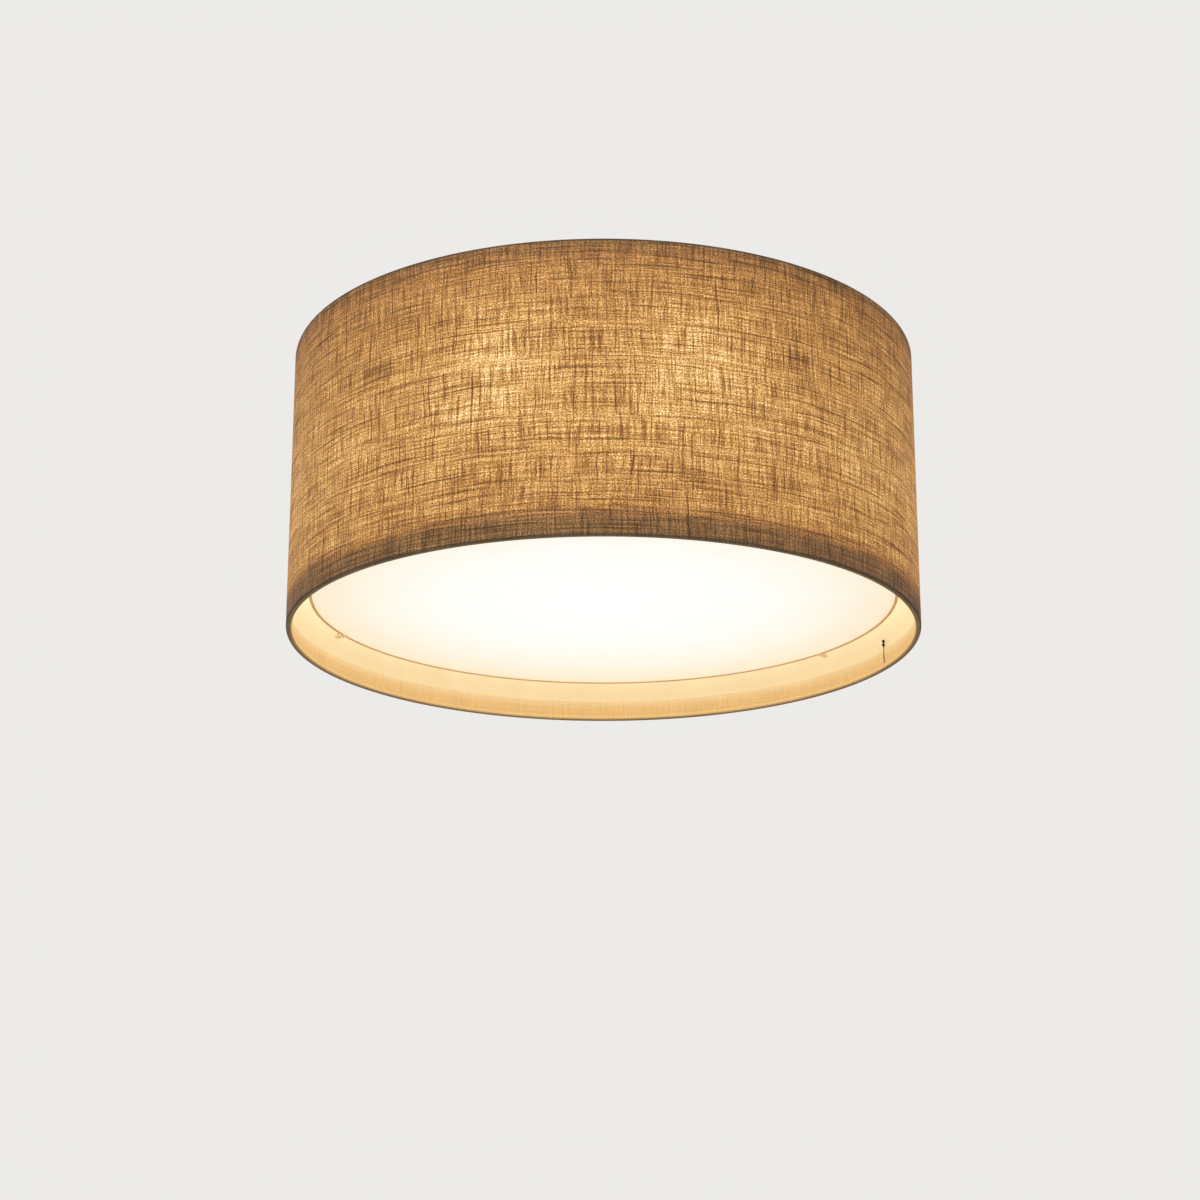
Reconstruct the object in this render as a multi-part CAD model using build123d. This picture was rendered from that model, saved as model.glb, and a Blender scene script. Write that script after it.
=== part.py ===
from build123d import *
from math import acos, cos, degrees, pi, radians, sin, sqrt, tan
import os

# Flush mount ceiling light: a linen drum shade with an opal diffuser disc, three lamps and a steel carrier frame.
# Millimetres and degrees. The ceiling is the plane z = 0 and everything hangs below it. Azimuth 0 is +X.

# ---- shade ----
SHADE_DIAMETER = 500.0  # over the rolled rims
SHADE_HEIGHT = 230.0
CEILING_GAP = 5.0  # from the ceiling to the upper rim
RING_WIRE_DIAMETER = 3.0
LINEN_THICKNESS = 0.65
LINER_THICKNESS = 0.5
HEM_HEIGHT = 18.0
GLUE_GAP = 0.05  # between the layers of the shade's wall
WIRE_CLEARANCE = 0.15  # round a ring wire in its hem
ROLL_FLATS = 20  # that make up the linen's roll round a ring wire
SEAM_AZIMUTH = 20.7
SEAM_WIDTH = 12.0
SEAM_THICKNESS = 0.5

# ---- diffuser and its hangers ----
DIFFUSER_RECESS = 29.6  # from the lower rim up to the diffuser's underside
DIFFUSER_MARGIN = 15.6  # from the liner to the diffuser's edge
DIFFUSER_THICKNESS = 2.0
BINDING_THICKNESS = 0.6
BINDING_WIDTH = 2.5
HANGER_AZIMUTH = 37.7
HANGER_WIRE_DIAMETER = 1.6
HANGER_STANDOFF = 3.0  # from the diffuser's edge to the wire
HANGER_HEAD_DIAMETER = 3.4
HANGER_HEAD_HEIGHT = 1.1
HANGER_RIVET_DIAMETER = 2.6
HANGER_RIVET_HEIGHT = 0.6
FOOT_REACH = 9.0  # from the wire's axis in to the foot's tip
FOOT_HEEL = 2.4  # from the wire's axis out to the foot's other end
FOOT_WIDTH = 4.0
FOOT_THICKNESS = 1.0
HANGER_TAB_WIDTH = 10.0
HANGER_TAB_END = 4.5  # from the wire's axis to the tab's inner end

# ---- carrier frame on the ceiling ----
COUNT = 3  # arms, hangers and lamps go round the centre in threes
HUB_DIAMETER = 100.0
PLATE_THICKNESS = 2.0
ARM_WIDTH = 16.0
SCREW_INSET = 15.7  # from the shade's ring wire in to the thumbscrews
CEILING_SLOT_SPACING = 70.0
CEILING_SLOT_LENGTH = 14.0
CEILING_SLOT_WIDTH = 5.0
BUSH_DIAMETER = 10.0
BUSH_SPIGOT_DIAMETER = 7.0
SCREW_TAB_THICKNESS = 1.5
SCREW_TAB_WIDTH = 20.0
SCREW_TAB_END = 8.0  # from the screw's axis to the tab's inner end
TAB_CORNER_RADIUS = 1.8
THUMBSCREW_DIAMETER = 5.0
THUMBSCREW_HEAD_DIAMETER = 15.0
THUMBSCREW_HEAD_HEIGHT = 9.0
THUMBSCREW_WASHER_DIAMETER = 10.5
THUMBSCREW_WASHER_HEIGHT = 1.2
THUMBSCREW_TOP_CLEARANCE = 0.8  # from the ceiling to the screw's tip
KNURL_COUNT = 24
KNURL_DEPTH = 0.5

# ---- ceiling pan ----
PAN_DIAMETER = 112.0
PAN_DEPTH = 26.0
PAN_WALL = 1.0
PAN_EDGE_RADIUS = 4.0
STUD_SPACING = 76.0
STUD_DIAMETER = 4.0
CAP_NUT_WIDTH = 7.0
CAP_NUT_HEX_HEIGHT = 3.2
CAP_NUT_DOME_HEIGHT = 4.6

# ---- wiring in the pan ----
TERMINAL_X = 20.5
TERMINAL_DEPTH = 13.0
TERMINAL_LENGTH = 30.0
TERMINAL_HEIGHT = 14.0
TERMINAL_PITCH = 10.0
TERMINAL_SCREW_DIAMETER = 3.0
TERMINAL_SCREW_LENGTH = 4.0
EARTH_SCREW_PLACE = (-16.0, 20.0)
EARTH_SCREW_DIAMETER = 4.0
EARTH_SCREW_HEAD_DIAMETER = 8.0
EARTH_SCREW_HEAD_HEIGHT = 2.4
DRIVER_SLOT_WIDTH = 0.8
DRIVER_SLOT_DEPTH = 1.0
GROMMET_PLACE = (-16.0, -17.0)
GROMMET_DIAMETER = 17.0
GROMMET_BORE = 8.0
GROMMET_HOLE = 13.0
GROMMET_LIP_HEIGHT = 2.0
GROMMET_NOSE_HEIGHT = 1.0
LEAD_DIAMETER = 1.8
LEAD_SPACING = 3.0  # between the leads in a nipple
LEAD_STRAIGHT = 5.4  # of a feed lead, on each side of the terminal block's face
ARC_SHARE = 0.45  # of the shorter of two runs, taken up by the arc between them

# ---- lampholders and their bracket ----
TUBE_DIAMETER = 10.0
TUBE_BORE = 8.0
TUBE_ABOVE = 6.5  # above the pan's floor
TUBE_BELOW = 7.0  # below the bracket
HEX_NUT_WIDTH = 14.0
HEX_NUT_HEIGHT = 3.5
BRACKET_THICKNESS = 1.5
BRACKET_LEG_WIDTH = 18.0
BRACKET_LEG_RADIUS = 20.0  # from the centre to the legs' outer faces
BRACKET_LEG_END = 11.0  # below the lampholders' axis
HOLDER_DROP = 24.0  # from the pan down to the lampholders' axis
HOLDER_LENGTH = 40.0
HOLDER_BACK_DIAMETER = 30.0
HOLDER_BACK_LENGTH = 12.0
HOLDER_SHOULDER_LENGTH = 4.0
HOLDER_DIAMETER = 36.0
HOLDER_FLOOR = 5.0
SLEEVE_WALL = 0.6
SLEEVE_START = 9.0  # from the holder's back
SLEEVE_LENGTH = 20.0
CONTACT_DIAMETER = 12.0
CONTACT_PLATE = 1.0
CONTACT_SPRING_DIAMETER = 6.0
CONTACT_SPRING_HEIGHT = 2.0
NIPPLE_INSIDE = 5.5  # from the leg's inner face to the nipple's end

# ---- lamps ----
LAMP_AZIMUTH = 84.0
CAP_THREAD_DIAMETER = 26.4
CAP_THREAD_DEPTH = 0.7
CAP_THREAD_PITCH = 3.6
CAP_CREST_WIDTH = 1.1
CAP_THREAD_TURNS = 5
CAP_BUTTON_DIAMETER = 9.0
CAP_BUTTON_HEIGHT = 1.8
CAP_INSULATOR_HEIGHT = 4.2
CAP_WALL = 1.0
COLLAR_NECK_DIAMETER = 26.8
COLLAR_NECK_LENGTH = 9.0
GLOBE_DIAMETER = 45.0
GLOBE_WALL = 1.0
GLOBE_NECK_DIAMETER = 39.6
GLOBE_CENTRE = 52.5  # from the lamp's tip

# ---- clearances ----
SEAT_CLEARANCE = 0.3  # between pieces that move apart
FIT_CLEARANCE = 0.05  # between fixed pieces that fit in each other
SCREW_CLEARANCE = 0.1  # round a turning screw
HOLE_CLEARANCE = 0.3  # round a screw or wire that only passes through
NOTCH_CLEARANCE = 0.4  # round a tab or an arm

# ---- derived: the shade's wall, from its outer face inwards ----
LINEN_OUTER_R = SHADE_DIAMETER / 2
LINEN_INNER_R = LINEN_OUTER_R - LINEN_THICKNESS
LINER_OUTER_R = LINEN_INNER_R - GLUE_GAP
LINER_INNER_R = LINER_OUTER_R - LINER_THICKNESS
HEM_OUTER_R = LINER_INNER_R - GLUE_GAP
HEM_INNER_R = HEM_OUTER_R - LINEN_THICKNESS
WIRE_R = RING_WIRE_DIAMETER / 2
ROLL_R = WIRE_R + WIRE_CLEARANCE + LINEN_THICKNESS
RING_R = LINEN_OUTER_R - ROLL_R
TOP_RING_Z = -CEILING_GAP - ROLL_R
BOTTOM_Z = -CEILING_GAP - SHADE_HEIGHT
BOTTOM_RING_Z = BOTTOM_Z + ROLL_R
WALL_TOP_Z = TOP_RING_Z - WIRE_R - WIRE_CLEARANCE
WALL_BOTTOM_Z = BOTTOM_RING_Z + WIRE_R + WIRE_CLEARANCE

# ---- derived: the diffuser and its hangers ----
DIFFUSER_R = LINER_INNER_R - DIFFUSER_MARGIN
DIFFUSER_Z = BOTTOM_Z + DIFFUSER_RECESS
PANEL_Z = DIFFUSER_Z + BINDING_THICKNESS + FIT_CLEARANCE
PANEL_R = DIFFUSER_R - BINDING_THICKNESS - FIT_CLEARANCE
HANGER_WIRE_R = HANGER_WIRE_DIAMETER / 2
HANGER_R = DIFFUSER_R + HANGER_STANDOFF + HANGER_WIRE_R
FOOT_TOP_Z = DIFFUSER_Z - SEAT_CLEARANCE
FOOT_BOTTOM_Z = FOOT_TOP_Z - FOOT_THICKNESS

# ---- derived: what hangs from the carrier frame ----
ARM_AZIMUTH = HANGER_AZIMUTH + 180 / COUNT
SCREW_R = RING_R - SCREW_INSET
TAB_TOP_Z = TOP_RING_Z + SCREW_TAB_THICKNESS / 2
TAB_BOTTOM_Z = TOP_RING_Z - SCREW_TAB_THICKNESS / 2
PAN_R = PAN_DIAMETER / 2
PAN_FLOOR_Z = PAN_WALL - PAN_DEPTH
BRACKET_TOP_Z = -PAN_DEPTH
BRACKET_BOTTOM_Z = BRACKET_TOP_Z - BRACKET_THICKNESS
HOLDER_Z = -PAN_DEPTH - HOLDER_DROP
LEG_INNER_R = BRACKET_LEG_RADIUS - BRACKET_THICKNESS
CAP_R = CAP_THREAD_DIAMETER / 2
SLEEVE_INNER_R = CAP_R + SEAT_CLEARANCE
SLEEVE_OUTER_R = SLEEVE_INNER_R + SLEEVE_WALL
HOLDER_BORE_R = SLEEVE_OUTER_R + FIT_CLEARANCE
LAMP_START = HOLDER_FLOOR + CONTACT_PLATE + CONTACT_SPRING_HEIGHT + SEAT_CLEARANCE
CAP_SHELL_START = CAP_BUTTON_HEIGHT + CAP_INSULATOR_HEIGHT
CAP_LENGTH = CAP_SHELL_START + CAP_THREAD_TURNS * CAP_THREAD_PITCH
GLOBE_NECK_START = GLOBE_CENTRE - sqrt((GLOBE_DIAMETER / 2) ** 2 - (GLOBE_NECK_DIAMETER / 2) ** 2)
TERMINAL_TOP_Z = -PLATE_THICKNESS
TERMINAL_BOTTOM_Z = TERMINAL_TOP_Z - TERMINAL_HEIGHT
TERMINAL_WAY_Z = TERMINAL_TOP_Z - TERMINAL_HEIGHT / 2
TERMINAL_FACE_X = TERMINAL_X - TERMINAL_DEPTH / 2


def around(first):
    """The azimuths of COUNT equal places round the centre."""
    return [first + i * 360 / COUNT for i in range(COUNT)]


def turned(*points):
    """A solid turned about Z from an outline of (radius, height) points."""
    return revolve(Plane.XZ * make_face(Polyline(*points, close=True)), Axis.Z)


def ring(inner, outer, bottom, top):
    """A plain ring about Z."""
    return turned((inner, bottom), (outer, bottom), (outer, top), (inner, top))


def rod(radius, bottom, top):
    """A plain round bar along Z."""
    return Pos(0, 0, bottom) * Cylinder(radius, top - bottom, align=(Align.CENTER, Align.CENTER, Align.MIN))


def block(x_range, y_range, z_range):
    """A box between three pairs of limits."""
    spans = [high - low for low, high in (x_range, y_range, z_range)]
    middle = [(low + high) / 2 for low, high in (x_range, y_range, z_range)]
    return Pos(*middle) * Box(*spans)


def hexagon(width, bottom, top):
    """A hexagonal bar along Z, width across flats."""
    section = RegularPolygon(width / 2, 6, major_radius=False)
    return extrude(Pos(0, 0, bottom) * section, top - bottom)


def outward(azimuth, distance, height):
    """The place whose local Z points away from the centre at an azimuth."""
    a = radians(azimuth)
    origin = (distance * cos(a), distance * sin(a), height)
    return Plane(origin=origin, x_dir=(-sin(a), cos(a), 0), z_dir=(cos(a), sin(a), 0)).location


def spot(azimuth, distance, height):
    """A point at an azimuth and distance from the centre."""
    return Vector(distance * cos(radians(azimuth)), distance * sin(radians(azimuth)), height)


def merged(solids):
    """One solid from several that touch or overlap."""
    whole = solids[0]
    for extra in solids[1:]:
        whole += extra
    return whole


# ---- shade ----


def under_wire(radius, end_x):
    """Points round a ring wire, from its outer side, under it and up to where they reach end_x above it."""
    turn = acos(end_x / radius) - 2 * pi
    angles = [turn * i / ROLL_FLATS for i in range(ROLL_FLATS + 1)]
    return [(radius * cos(a), radius * sin(a)) for a in angles]


def hem(ring_z, side):
    """The cover's linen turned in round a ring wire, with a leg on the wall's inner face.

    It starts at the cover's edge, level with the wire. side is 1 when the wall and the leg go up from the wire.
    """
    outer = under_wire(ROLL_R, HEM_INNER_R - RING_R)
    inner = under_wire(ROLL_R - LINEN_THICKNESS, HEM_OUTER_R - RING_R)
    leg_y = HEM_HEIGHT - ROLL_R
    leg = [(HEM_INNER_R - RING_R, leg_y), (HEM_OUTER_R - RING_R, leg_y)]
    section = make_face(Polyline(*outer, *leg, *reversed(inner), close=True))
    if side < 0:
        section = mirror(section, Plane.XZ)
    return revolve(Plane.XZ * Pos(RING_R, ring_z) * section, Axis.Z)


def tab_window(azimuth, width):
    """The opening that a tab of the upper ring needs in the upper hem."""
    reach = (LINER_INNER_R - 2 * ROLL_R, RING_R)
    sides = (-width / 2 - NOTCH_CLEARANCE, width / 2 + NOTCH_CLEARANCE)
    heights = (TAB_BOTTOM_Z - GLUE_GAP, TAB_TOP_Z + GLUE_GAP)
    return Rot(0, 0, azimuth) * block(reach, sides, heights)


def tab(azimuth, width, hole_at, hole_radius, end):
    """A flat tab that stands in from the upper ring wire, with a hole."""
    inner = hole_at - end
    plate = block((inner, RING_R), (-width / 2, width / 2), (TAB_BOTTOM_Z, TAB_TOP_Z))
    corners = plate.edges().filter_by(Axis.Z).group_by(Axis.X)[0]
    plate = fillet(corners, TAB_CORNER_RADIUS)
    hole = Pos(hole_at, 0, 0) * rod(hole_radius, 2 * TAB_BOTTOM_Z, 0)
    return Rot(0, 0, azimuth) * (plate - hole)


def top_ring():
    """The upper ring wire, with three tabs for the thumbscrews and three for the hangers."""
    pieces = [Pos(0, 0, TOP_RING_Z) * Torus(RING_R, WIRE_R)]
    screw_hole = THUMBSCREW_DIAMETER / 2 + HOLE_CLEARANCE
    for azimuth in around(ARM_AZIMUTH):
        pieces.append(tab(azimuth, SCREW_TAB_WIDTH, SCREW_R, screw_hole, SCREW_TAB_END))
    for azimuth in around(HANGER_AZIMUTH):
        pieces.append(tab(azimuth, HANGER_TAB_WIDTH, HANGER_R, HANGER_WIRE_R + HOLE_CLEARANCE, HANGER_TAB_END))
    return merged(pieces)


def bottom_ring():
    """The lower ring wire."""
    return Pos(0, 0, BOTTOM_RING_Z) * Torus(RING_R, WIRE_R)


def top_hem():
    strip = hem(TOP_RING_Z, -1)
    for azimuth in around(ARM_AZIMUTH):
        strip -= tab_window(azimuth, SCREW_TAB_WIDTH)
    for azimuth in around(HANGER_AZIMUTH):
        strip -= tab_window(azimuth, HANGER_TAB_WIDTH)
    return strip


def bottom_hem():
    return hem(BOTTOM_RING_Z, 1)


def shade_cover():
    """The linen's outer face, from one ring wire to the other."""
    return ring(LINEN_INNER_R, LINEN_OUTER_R, BOTTOM_RING_Z, TOP_RING_Z)


def shade_liner():
    return ring(LINER_INNER_R, LINER_OUTER_R, WALL_BOTTOM_Z, WALL_TOP_Z)


def seam_lap():
    """The lap of the cover over its own end."""
    inner = LINEN_OUTER_R + GLUE_GAP
    outer = inner + SEAM_THICKNESS
    corners = [(inner, BOTTOM_RING_Z), (outer, BOTTOM_RING_Z), (outer, TOP_RING_Z), (inner, TOP_RING_Z)]
    arc = degrees(SEAM_WIDTH / inner)
    section = Plane.XZ * make_face(Polyline(*corners, close=True))
    return Rot(0, 0, SEAM_AZIMUTH - arc / 2) * revolve(section, Axis.Z, arc)


# ---- diffuser and hangers ----


def diffuser_panel():
    return rod(PANEL_R, PANEL_Z, PANEL_Z + DIFFUSER_THICKNESS)


def diffuser_binding():
    """The U-shaped binding round the panel's edge."""
    low = DIFFUSER_Z
    high = PANEL_Z + DIFFUSER_THICKNESS + FIT_CLEARANCE + BINDING_THICKNESS
    body = ring(DIFFUSER_R - BINDING_WIDTH, DIFFUSER_R, low, high)
    groove = rod(PANEL_R + FIT_CLEARANCE, low + BINDING_THICKNESS, high - BINDING_THICKNESS)
    return body - groove


def hanger(azimuth):
    """A spring wire that hangs from a tab of the upper ring by its head, riveted over below its foot."""
    head_z = TAB_TOP_Z + SEAT_CLEARANCE
    wire = rod(HANGER_WIRE_R, FOOT_BOTTOM_Z, head_z)
    head = rod(HANGER_HEAD_DIAMETER / 2, head_z, head_z + HANGER_HEAD_HEIGHT)
    rivet = rod(HANGER_RIVET_DIAMETER / 2, FOOT_BOTTOM_Z - HANGER_RIVET_HEIGHT, FOOT_BOTTOM_Z)
    return Rot(0, 0, azimuth) * Pos(HANGER_R, 0, 0) * (wire + head + rivet)


def hanger_foot(azimuth):
    """The flat foot on a hanger's lower end, which carries the diffuser's edge."""
    plate = block((-FOOT_REACH, FOOT_HEEL), (-FOOT_WIDTH / 2, FOOT_WIDTH / 2), (FOOT_BOTTOM_Z, FOOT_TOP_Z))
    plate = fillet(plate.edges().filter_by(Axis.Z), FOOT_WIDTH / 2 - FIT_CLEARANCE)
    plate -= rod(HANGER_WIRE_R + FIT_CLEARANCE, FOOT_BOTTOM_Z, FOOT_TOP_Z)
    return Rot(0, 0, azimuth) * Pos(HANGER_R, 0, 0) * plate


# ---- carrier frame ----


def carrier_frame():
    """The flat steel frame that is screwed to the ceiling: a round hub with three arms."""
    plate = Circle(HUB_DIAMETER / 2)
    for azimuth in around(ARM_AZIMUTH):
        arm = Rectangle(SCREW_R, ARM_WIDTH, align=(Align.MIN, Align.CENTER))
        plate += Rot(0, 0, azimuth) * (arm + Pos(SCREW_R, 0) * Circle(ARM_WIDTH / 2))
    for azimuth in around(ARM_AZIMUTH):
        plate -= Rot(0, 0, azimuth) * Pos(SCREW_R, 0) * Circle(BUSH_SPIGOT_DIAMETER / 2 + FIT_CLEARANCE)
    for x in (-CEILING_SLOT_SPACING / 2, CEILING_SLOT_SPACING / 2):
        plate -= Pos(x, 0) * SlotOverall(CEILING_SLOT_LENGTH, CEILING_SLOT_WIDTH)
    plate -= Pos(*GROMMET_PLACE) * Circle(GROMMET_HOLE / 2)
    plate -= Pos(*EARTH_SCREW_PLACE) * Circle(EARTH_SCREW_DIAMETER / 2 + FIT_CLEARANCE)
    return extrude(plate, -PLATE_THICKNESS)


def arm_bushes():
    """The threaded bushes at the arms' ends, which take the thumbscrews."""
    bore = THUMBSCREW_DIAMETER / 2 + SCREW_CLEARANCE
    bottom = TAB_TOP_Z + SEAT_CLEARANCE
    bush = ring(bore, BUSH_DIAMETER / 2, bottom, -PLATE_THICKNESS) + ring(
        bore, BUSH_SPIGOT_DIAMETER / 2, -PLATE_THICKNESS, -FIT_CLEARANCE
    )
    return [Rot(0, 0, azimuth) * Pos(SCREW_R, 0, 0) * bush for azimuth in around(ARM_AZIMUTH)]


def thumbscrew(azimuth):
    """A knurled screw that goes up through a tab of the shade into an arm's bush."""
    washer_top = TAB_BOTTOM_Z - SEAT_CLEARANCE
    head_top = washer_top - THUMBSCREW_WASHER_HEIGHT
    head_r = THUMBSCREW_HEAD_DIAMETER / 2
    shank = rod(THUMBSCREW_DIAMETER / 2, head_top, -THUMBSCREW_TOP_CLEARANCE)
    washer = rod(THUMBSCREW_WASHER_DIAMETER / 2, head_top, washer_top)
    head = rod(head_r, head_top - THUMBSCREW_HEAD_HEIGHT, head_top)
    head = chamfer(head.edges().filter_by(GeomType.CIRCLE), KNURL_DEPTH)
    groove = rod(KNURL_DEPTH, head_top - THUMBSCREW_HEAD_HEIGHT, head_top)
    for i in range(KNURL_COUNT):
        head -= Rot(0, 0, i * 360 / KNURL_COUNT) * Pos(head_r, 0, 0) * groove
    return Rot(0, 0, azimuth) * Pos(SCREW_R, 0, 0) * (shank + washer + head)


def ceiling_pan():
    """The round cover over the wiring, open to the ceiling and notched for the arms."""
    outer = rod(PAN_R, -PAN_DEPTH, 0)
    outer = fillet(outer.edges().filter_by(GeomType.CIRCLE).sort_by(Axis.Z)[0], PAN_EDGE_RADIUS)
    inner = rod(PAN_R - PAN_WALL, PAN_FLOOR_Z, 0)
    inner = fillet(inner.edges().filter_by(GeomType.CIRCLE).sort_by(Axis.Z)[0], PAN_EDGE_RADIUS - PAN_WALL)
    pan = outer - inner
    notch_y = ARM_WIDTH / 2 + NOTCH_CLEARANCE
    notch = block((PAN_R - 3 * PAN_WALL, PAN_R + PAN_WALL), (-notch_y, notch_y), (-PLATE_THICKNESS - NOTCH_CLEARANCE, 0))
    for azimuth in around(ARM_AZIMUTH):
        pan -= Rot(0, 0, azimuth) * notch
    pan -= rod(TUBE_DIAMETER / 2 + FIT_CLEARANCE, -PAN_DEPTH, PAN_FLOOR_Z)
    for place in stud_places():
        pan -= place * rod(STUD_DIAMETER / 2 + FIT_CLEARANCE, -PAN_DEPTH, PAN_FLOOR_Z)
    return pan


def stud_places():
    """Two places opposite each other, each in a gap between two lampholders."""
    azimuth = LAMP_AZIMUTH + 90 / COUNT
    return [Pos(*spot(azimuth + turn, STUD_SPACING / 2, 0)) for turn in (0, 180)]


def pan_studs():
    """The two studs welded to the hub, which carry the pan."""
    end = -PAN_DEPTH - CAP_NUT_HEX_HEIGHT
    return [place * rod(STUD_DIAMETER / 2, end, -PLATE_THICKNESS) for place in stud_places()]


def cap_nuts():
    """The domed nuts under the pan."""
    hex_bottom = -PAN_DEPTH - CAP_NUT_HEX_HEIGHT
    dome_r = CAP_NUT_WIDTH / 2
    flat_z = hex_bottom - CAP_NUT_DOME_HEIGHT + dome_r
    dome = rod(dome_r, flat_z, hex_bottom) + Pos(0, 0, flat_z) * Sphere(dome_r)
    thread = rod(STUD_DIAMETER / 2 + FIT_CLEARANCE, hex_bottom - FIT_CLEARANCE, -PAN_DEPTH)
    nut = hexagon(CAP_NUT_WIDTH, hex_bottom, -PAN_DEPTH) + dome - thread
    return [place * nut for place in stud_places()]


# ---- wiring in the pan ----


def pole_places():
    return [(i - 1) * TERMINAL_PITCH for i in range(3)]


def terminal_block():
    """A three-way block on the hub's underside."""
    depth = (TERMINAL_FACE_X, TERMINAL_FACE_X + TERMINAL_DEPTH)
    body = block(depth, (-TERMINAL_LENGTH / 2, TERMINAL_LENGTH / 2), (TERMINAL_BOTTOM_Z, TERMINAL_TOP_Z))
    body = fillet(body.edges().filter_by(Axis.Z), LEAD_DIAMETER / 2)
    way = Plane.YZ.location * Cylinder(LEAD_DIAMETER / 2 + HOLE_CLEARANCE, 2 * TERMINAL_DEPTH)
    well_r = TERMINAL_SCREW_DIAMETER / 2 + FIT_CLEARANCE
    well = rod(well_r, TERMINAL_BOTTOM_Z, TERMINAL_WAY_Z - LEAD_DIAMETER)
    for y in pole_places():
        body -= Pos(TERMINAL_X, y, TERMINAL_WAY_Z) * way
        for x in screw_rows():
            body -= Pos(x, y, 0) * well
    return body


def screw_rows():
    return (TERMINAL_X - TERMINAL_DEPTH / 4, TERMINAL_X + TERMINAL_DEPTH / 4)


def terminal_screws():
    """The clamping screws of the block, slotted, two to a pole."""
    top = TERMINAL_WAY_Z - LEAD_DIAMETER
    screw = rod(TERMINAL_SCREW_DIAMETER / 2, top - TERMINAL_SCREW_LENGTH, top)
    screw -= driver_slot(TERMINAL_SCREW_DIAMETER, top - TERMINAL_SCREW_LENGTH)
    return [Pos(x, y, 0) * screw for y in pole_places() for x in screw_rows()]


def driver_slot(length, bottom):
    """The cut for a screwdriver in the lower end of a screw."""
    return Pos(0, 0, bottom) * Box(length, DRIVER_SLOT_WIDTH, 2 * DRIVER_SLOT_DEPTH)


def earth_screw():
    """The slotted screw for the earth lead, in the hub."""
    head_r = EARTH_SCREW_HEAD_DIAMETER / 2
    head_bottom = -PLATE_THICKNESS - EARTH_SCREW_HEAD_HEIGHT
    head = rod(head_r, head_bottom, -PLATE_THICKNESS)
    head = fillet(head.edges().filter_by(GeomType.CIRCLE).sort_by(Axis.Z)[0], EARTH_SCREW_HEAD_HEIGHT / 2)
    shank = rod(EARTH_SCREW_DIAMETER / 2, -PLATE_THICKNESS, -FIT_CLEARANCE)
    return Pos(*EARTH_SCREW_PLACE, 0) * (head - driver_slot(2 * head_r, head_bottom) + shank)


def cable_grommet():
    """The soft bush round the hole that the supply cable comes through."""
    bore = GROMMET_BORE / 2
    neck = GROMMET_HOLE / 2 - FIT_CLEARANCE
    lip = GROMMET_DIAMETER / 2
    lip_z = -PLATE_THICKNESS - GROMMET_LIP_HEIGHT
    nose_z = lip_z - GROMMET_NOSE_HEIGHT
    bush = turned(
        (bore, -FIT_CLEARANCE),
        (neck, -FIT_CLEARANCE),
        (neck, -PLATE_THICKNESS),
        (lip, -PLATE_THICKNESS),
        (lip, lip_z),
        (neck, nose_z),
        (bore, nose_z),
    )
    return Pos(*GROMMET_PLACE, 0) * bush


def lead(points, name):
    """A round lead along straight runs and tangent arcs, each arc as large as its runs allow."""
    points = [Vector(*p) for p in points]
    runs = [points[i + 1] - points[i] for i in range(len(points) - 1)]
    radii = []
    for before, after in zip(runs, runs[1:]):
        half_turn = radians(before.get_angle(after)) / 2
        radii.append(ARC_SHARE * min(before.length, after.length) / tan(half_turn))
    line = FilletPolyline(*points, radius=radii)
    solid = sweep(Plane(origin=line @ 0, z_dir=line % 0) * Circle(LEAD_DIAMETER / 2), path=line)
    section = pi * (LEAD_DIAMETER / 2) ** 2
    print(name, "radii", [round(r, 1) for r in radii], "volume ratio", round(solid.volume / section / line.length, 4))
    return solid


def nipple_point(azimuth, distance, sideways, upwards):
    """A point among the leads at a lampholder: sideways is towards greater azimuth."""
    place = spot(azimuth, distance, HOLDER_Z + upwards)
    across = spot(azimuth + 90, sideways, 0)
    return place + across


def feed_lead(upwards, near, pole_y, name):
    """The lead from the terminal block down through the centre tube to the first lampholder."""
    end = BRACKET_LEG_RADIUS + HOLDER_FLOOR - FIT_CLEARANCE
    side = -LEAD_SPACING / 2
    low = nipple_point(LAMP_AZIMUTH, near, side, upwards)
    points = [
        nipple_point(LAMP_AZIMUTH, end, side, upwards),
        low,
        (low.X, low.Y, TERMINAL_WAY_Z),
        (TERMINAL_FACE_X - LEAD_STRAIGHT, pole_y, TERMINAL_WAY_Z),
        (TERMINAL_FACE_X + LEAD_STRAIGHT, pole_y, TERMINAL_WAY_Z),
    ]
    return lead(points, name)


def link_lead(first, second, upwards, name):
    """The lead from one lampholder to the next."""
    end = BRACKET_LEG_RADIUS + HOLDER_FLOOR - FIT_CLEARANCE
    side = LEAD_SPACING / 2
    corner = side / sin(radians((second - first) / 2))
    points = [
        nipple_point(first, end, side, upwards),
        spot((first + second) / 2, corner, HOLDER_Z + upwards),
        nipple_point(second, end, -side, upwards),
    ]
    return lead(points, name)


def leads(upwards, near, pole_y, name):
    """One feed lead and the links from lampholder to lampholder."""
    azimuths = around(LAMP_AZIMUTH)
    solids = [feed_lead(upwards, near, pole_y, name + " feed")]
    for first, second in zip(azimuths, azimuths[1:]):
        solids.append(link_lead(first, second, upwards, name + " link"))
    return solids


def live_leads():
    return leads(LEAD_SPACING / 2, LEAD_SPACING / 2, TERMINAL_PITCH, "live")


def neutral_leads():
    return leads(-LEAD_SPACING / 2, -LEAD_SPACING / 2, -TERMINAL_PITCH, "neutral")


# ---- lampholders ----


def centre_tube():
    """The threaded tube that clamps the bracket to the pan and carries the leads."""
    return ring(TUBE_BORE / 2, TUBE_DIAMETER / 2, BRACKET_BOTTOM_Z - TUBE_BELOW, PAN_FLOOR_Z + TUBE_ABOVE)


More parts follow.
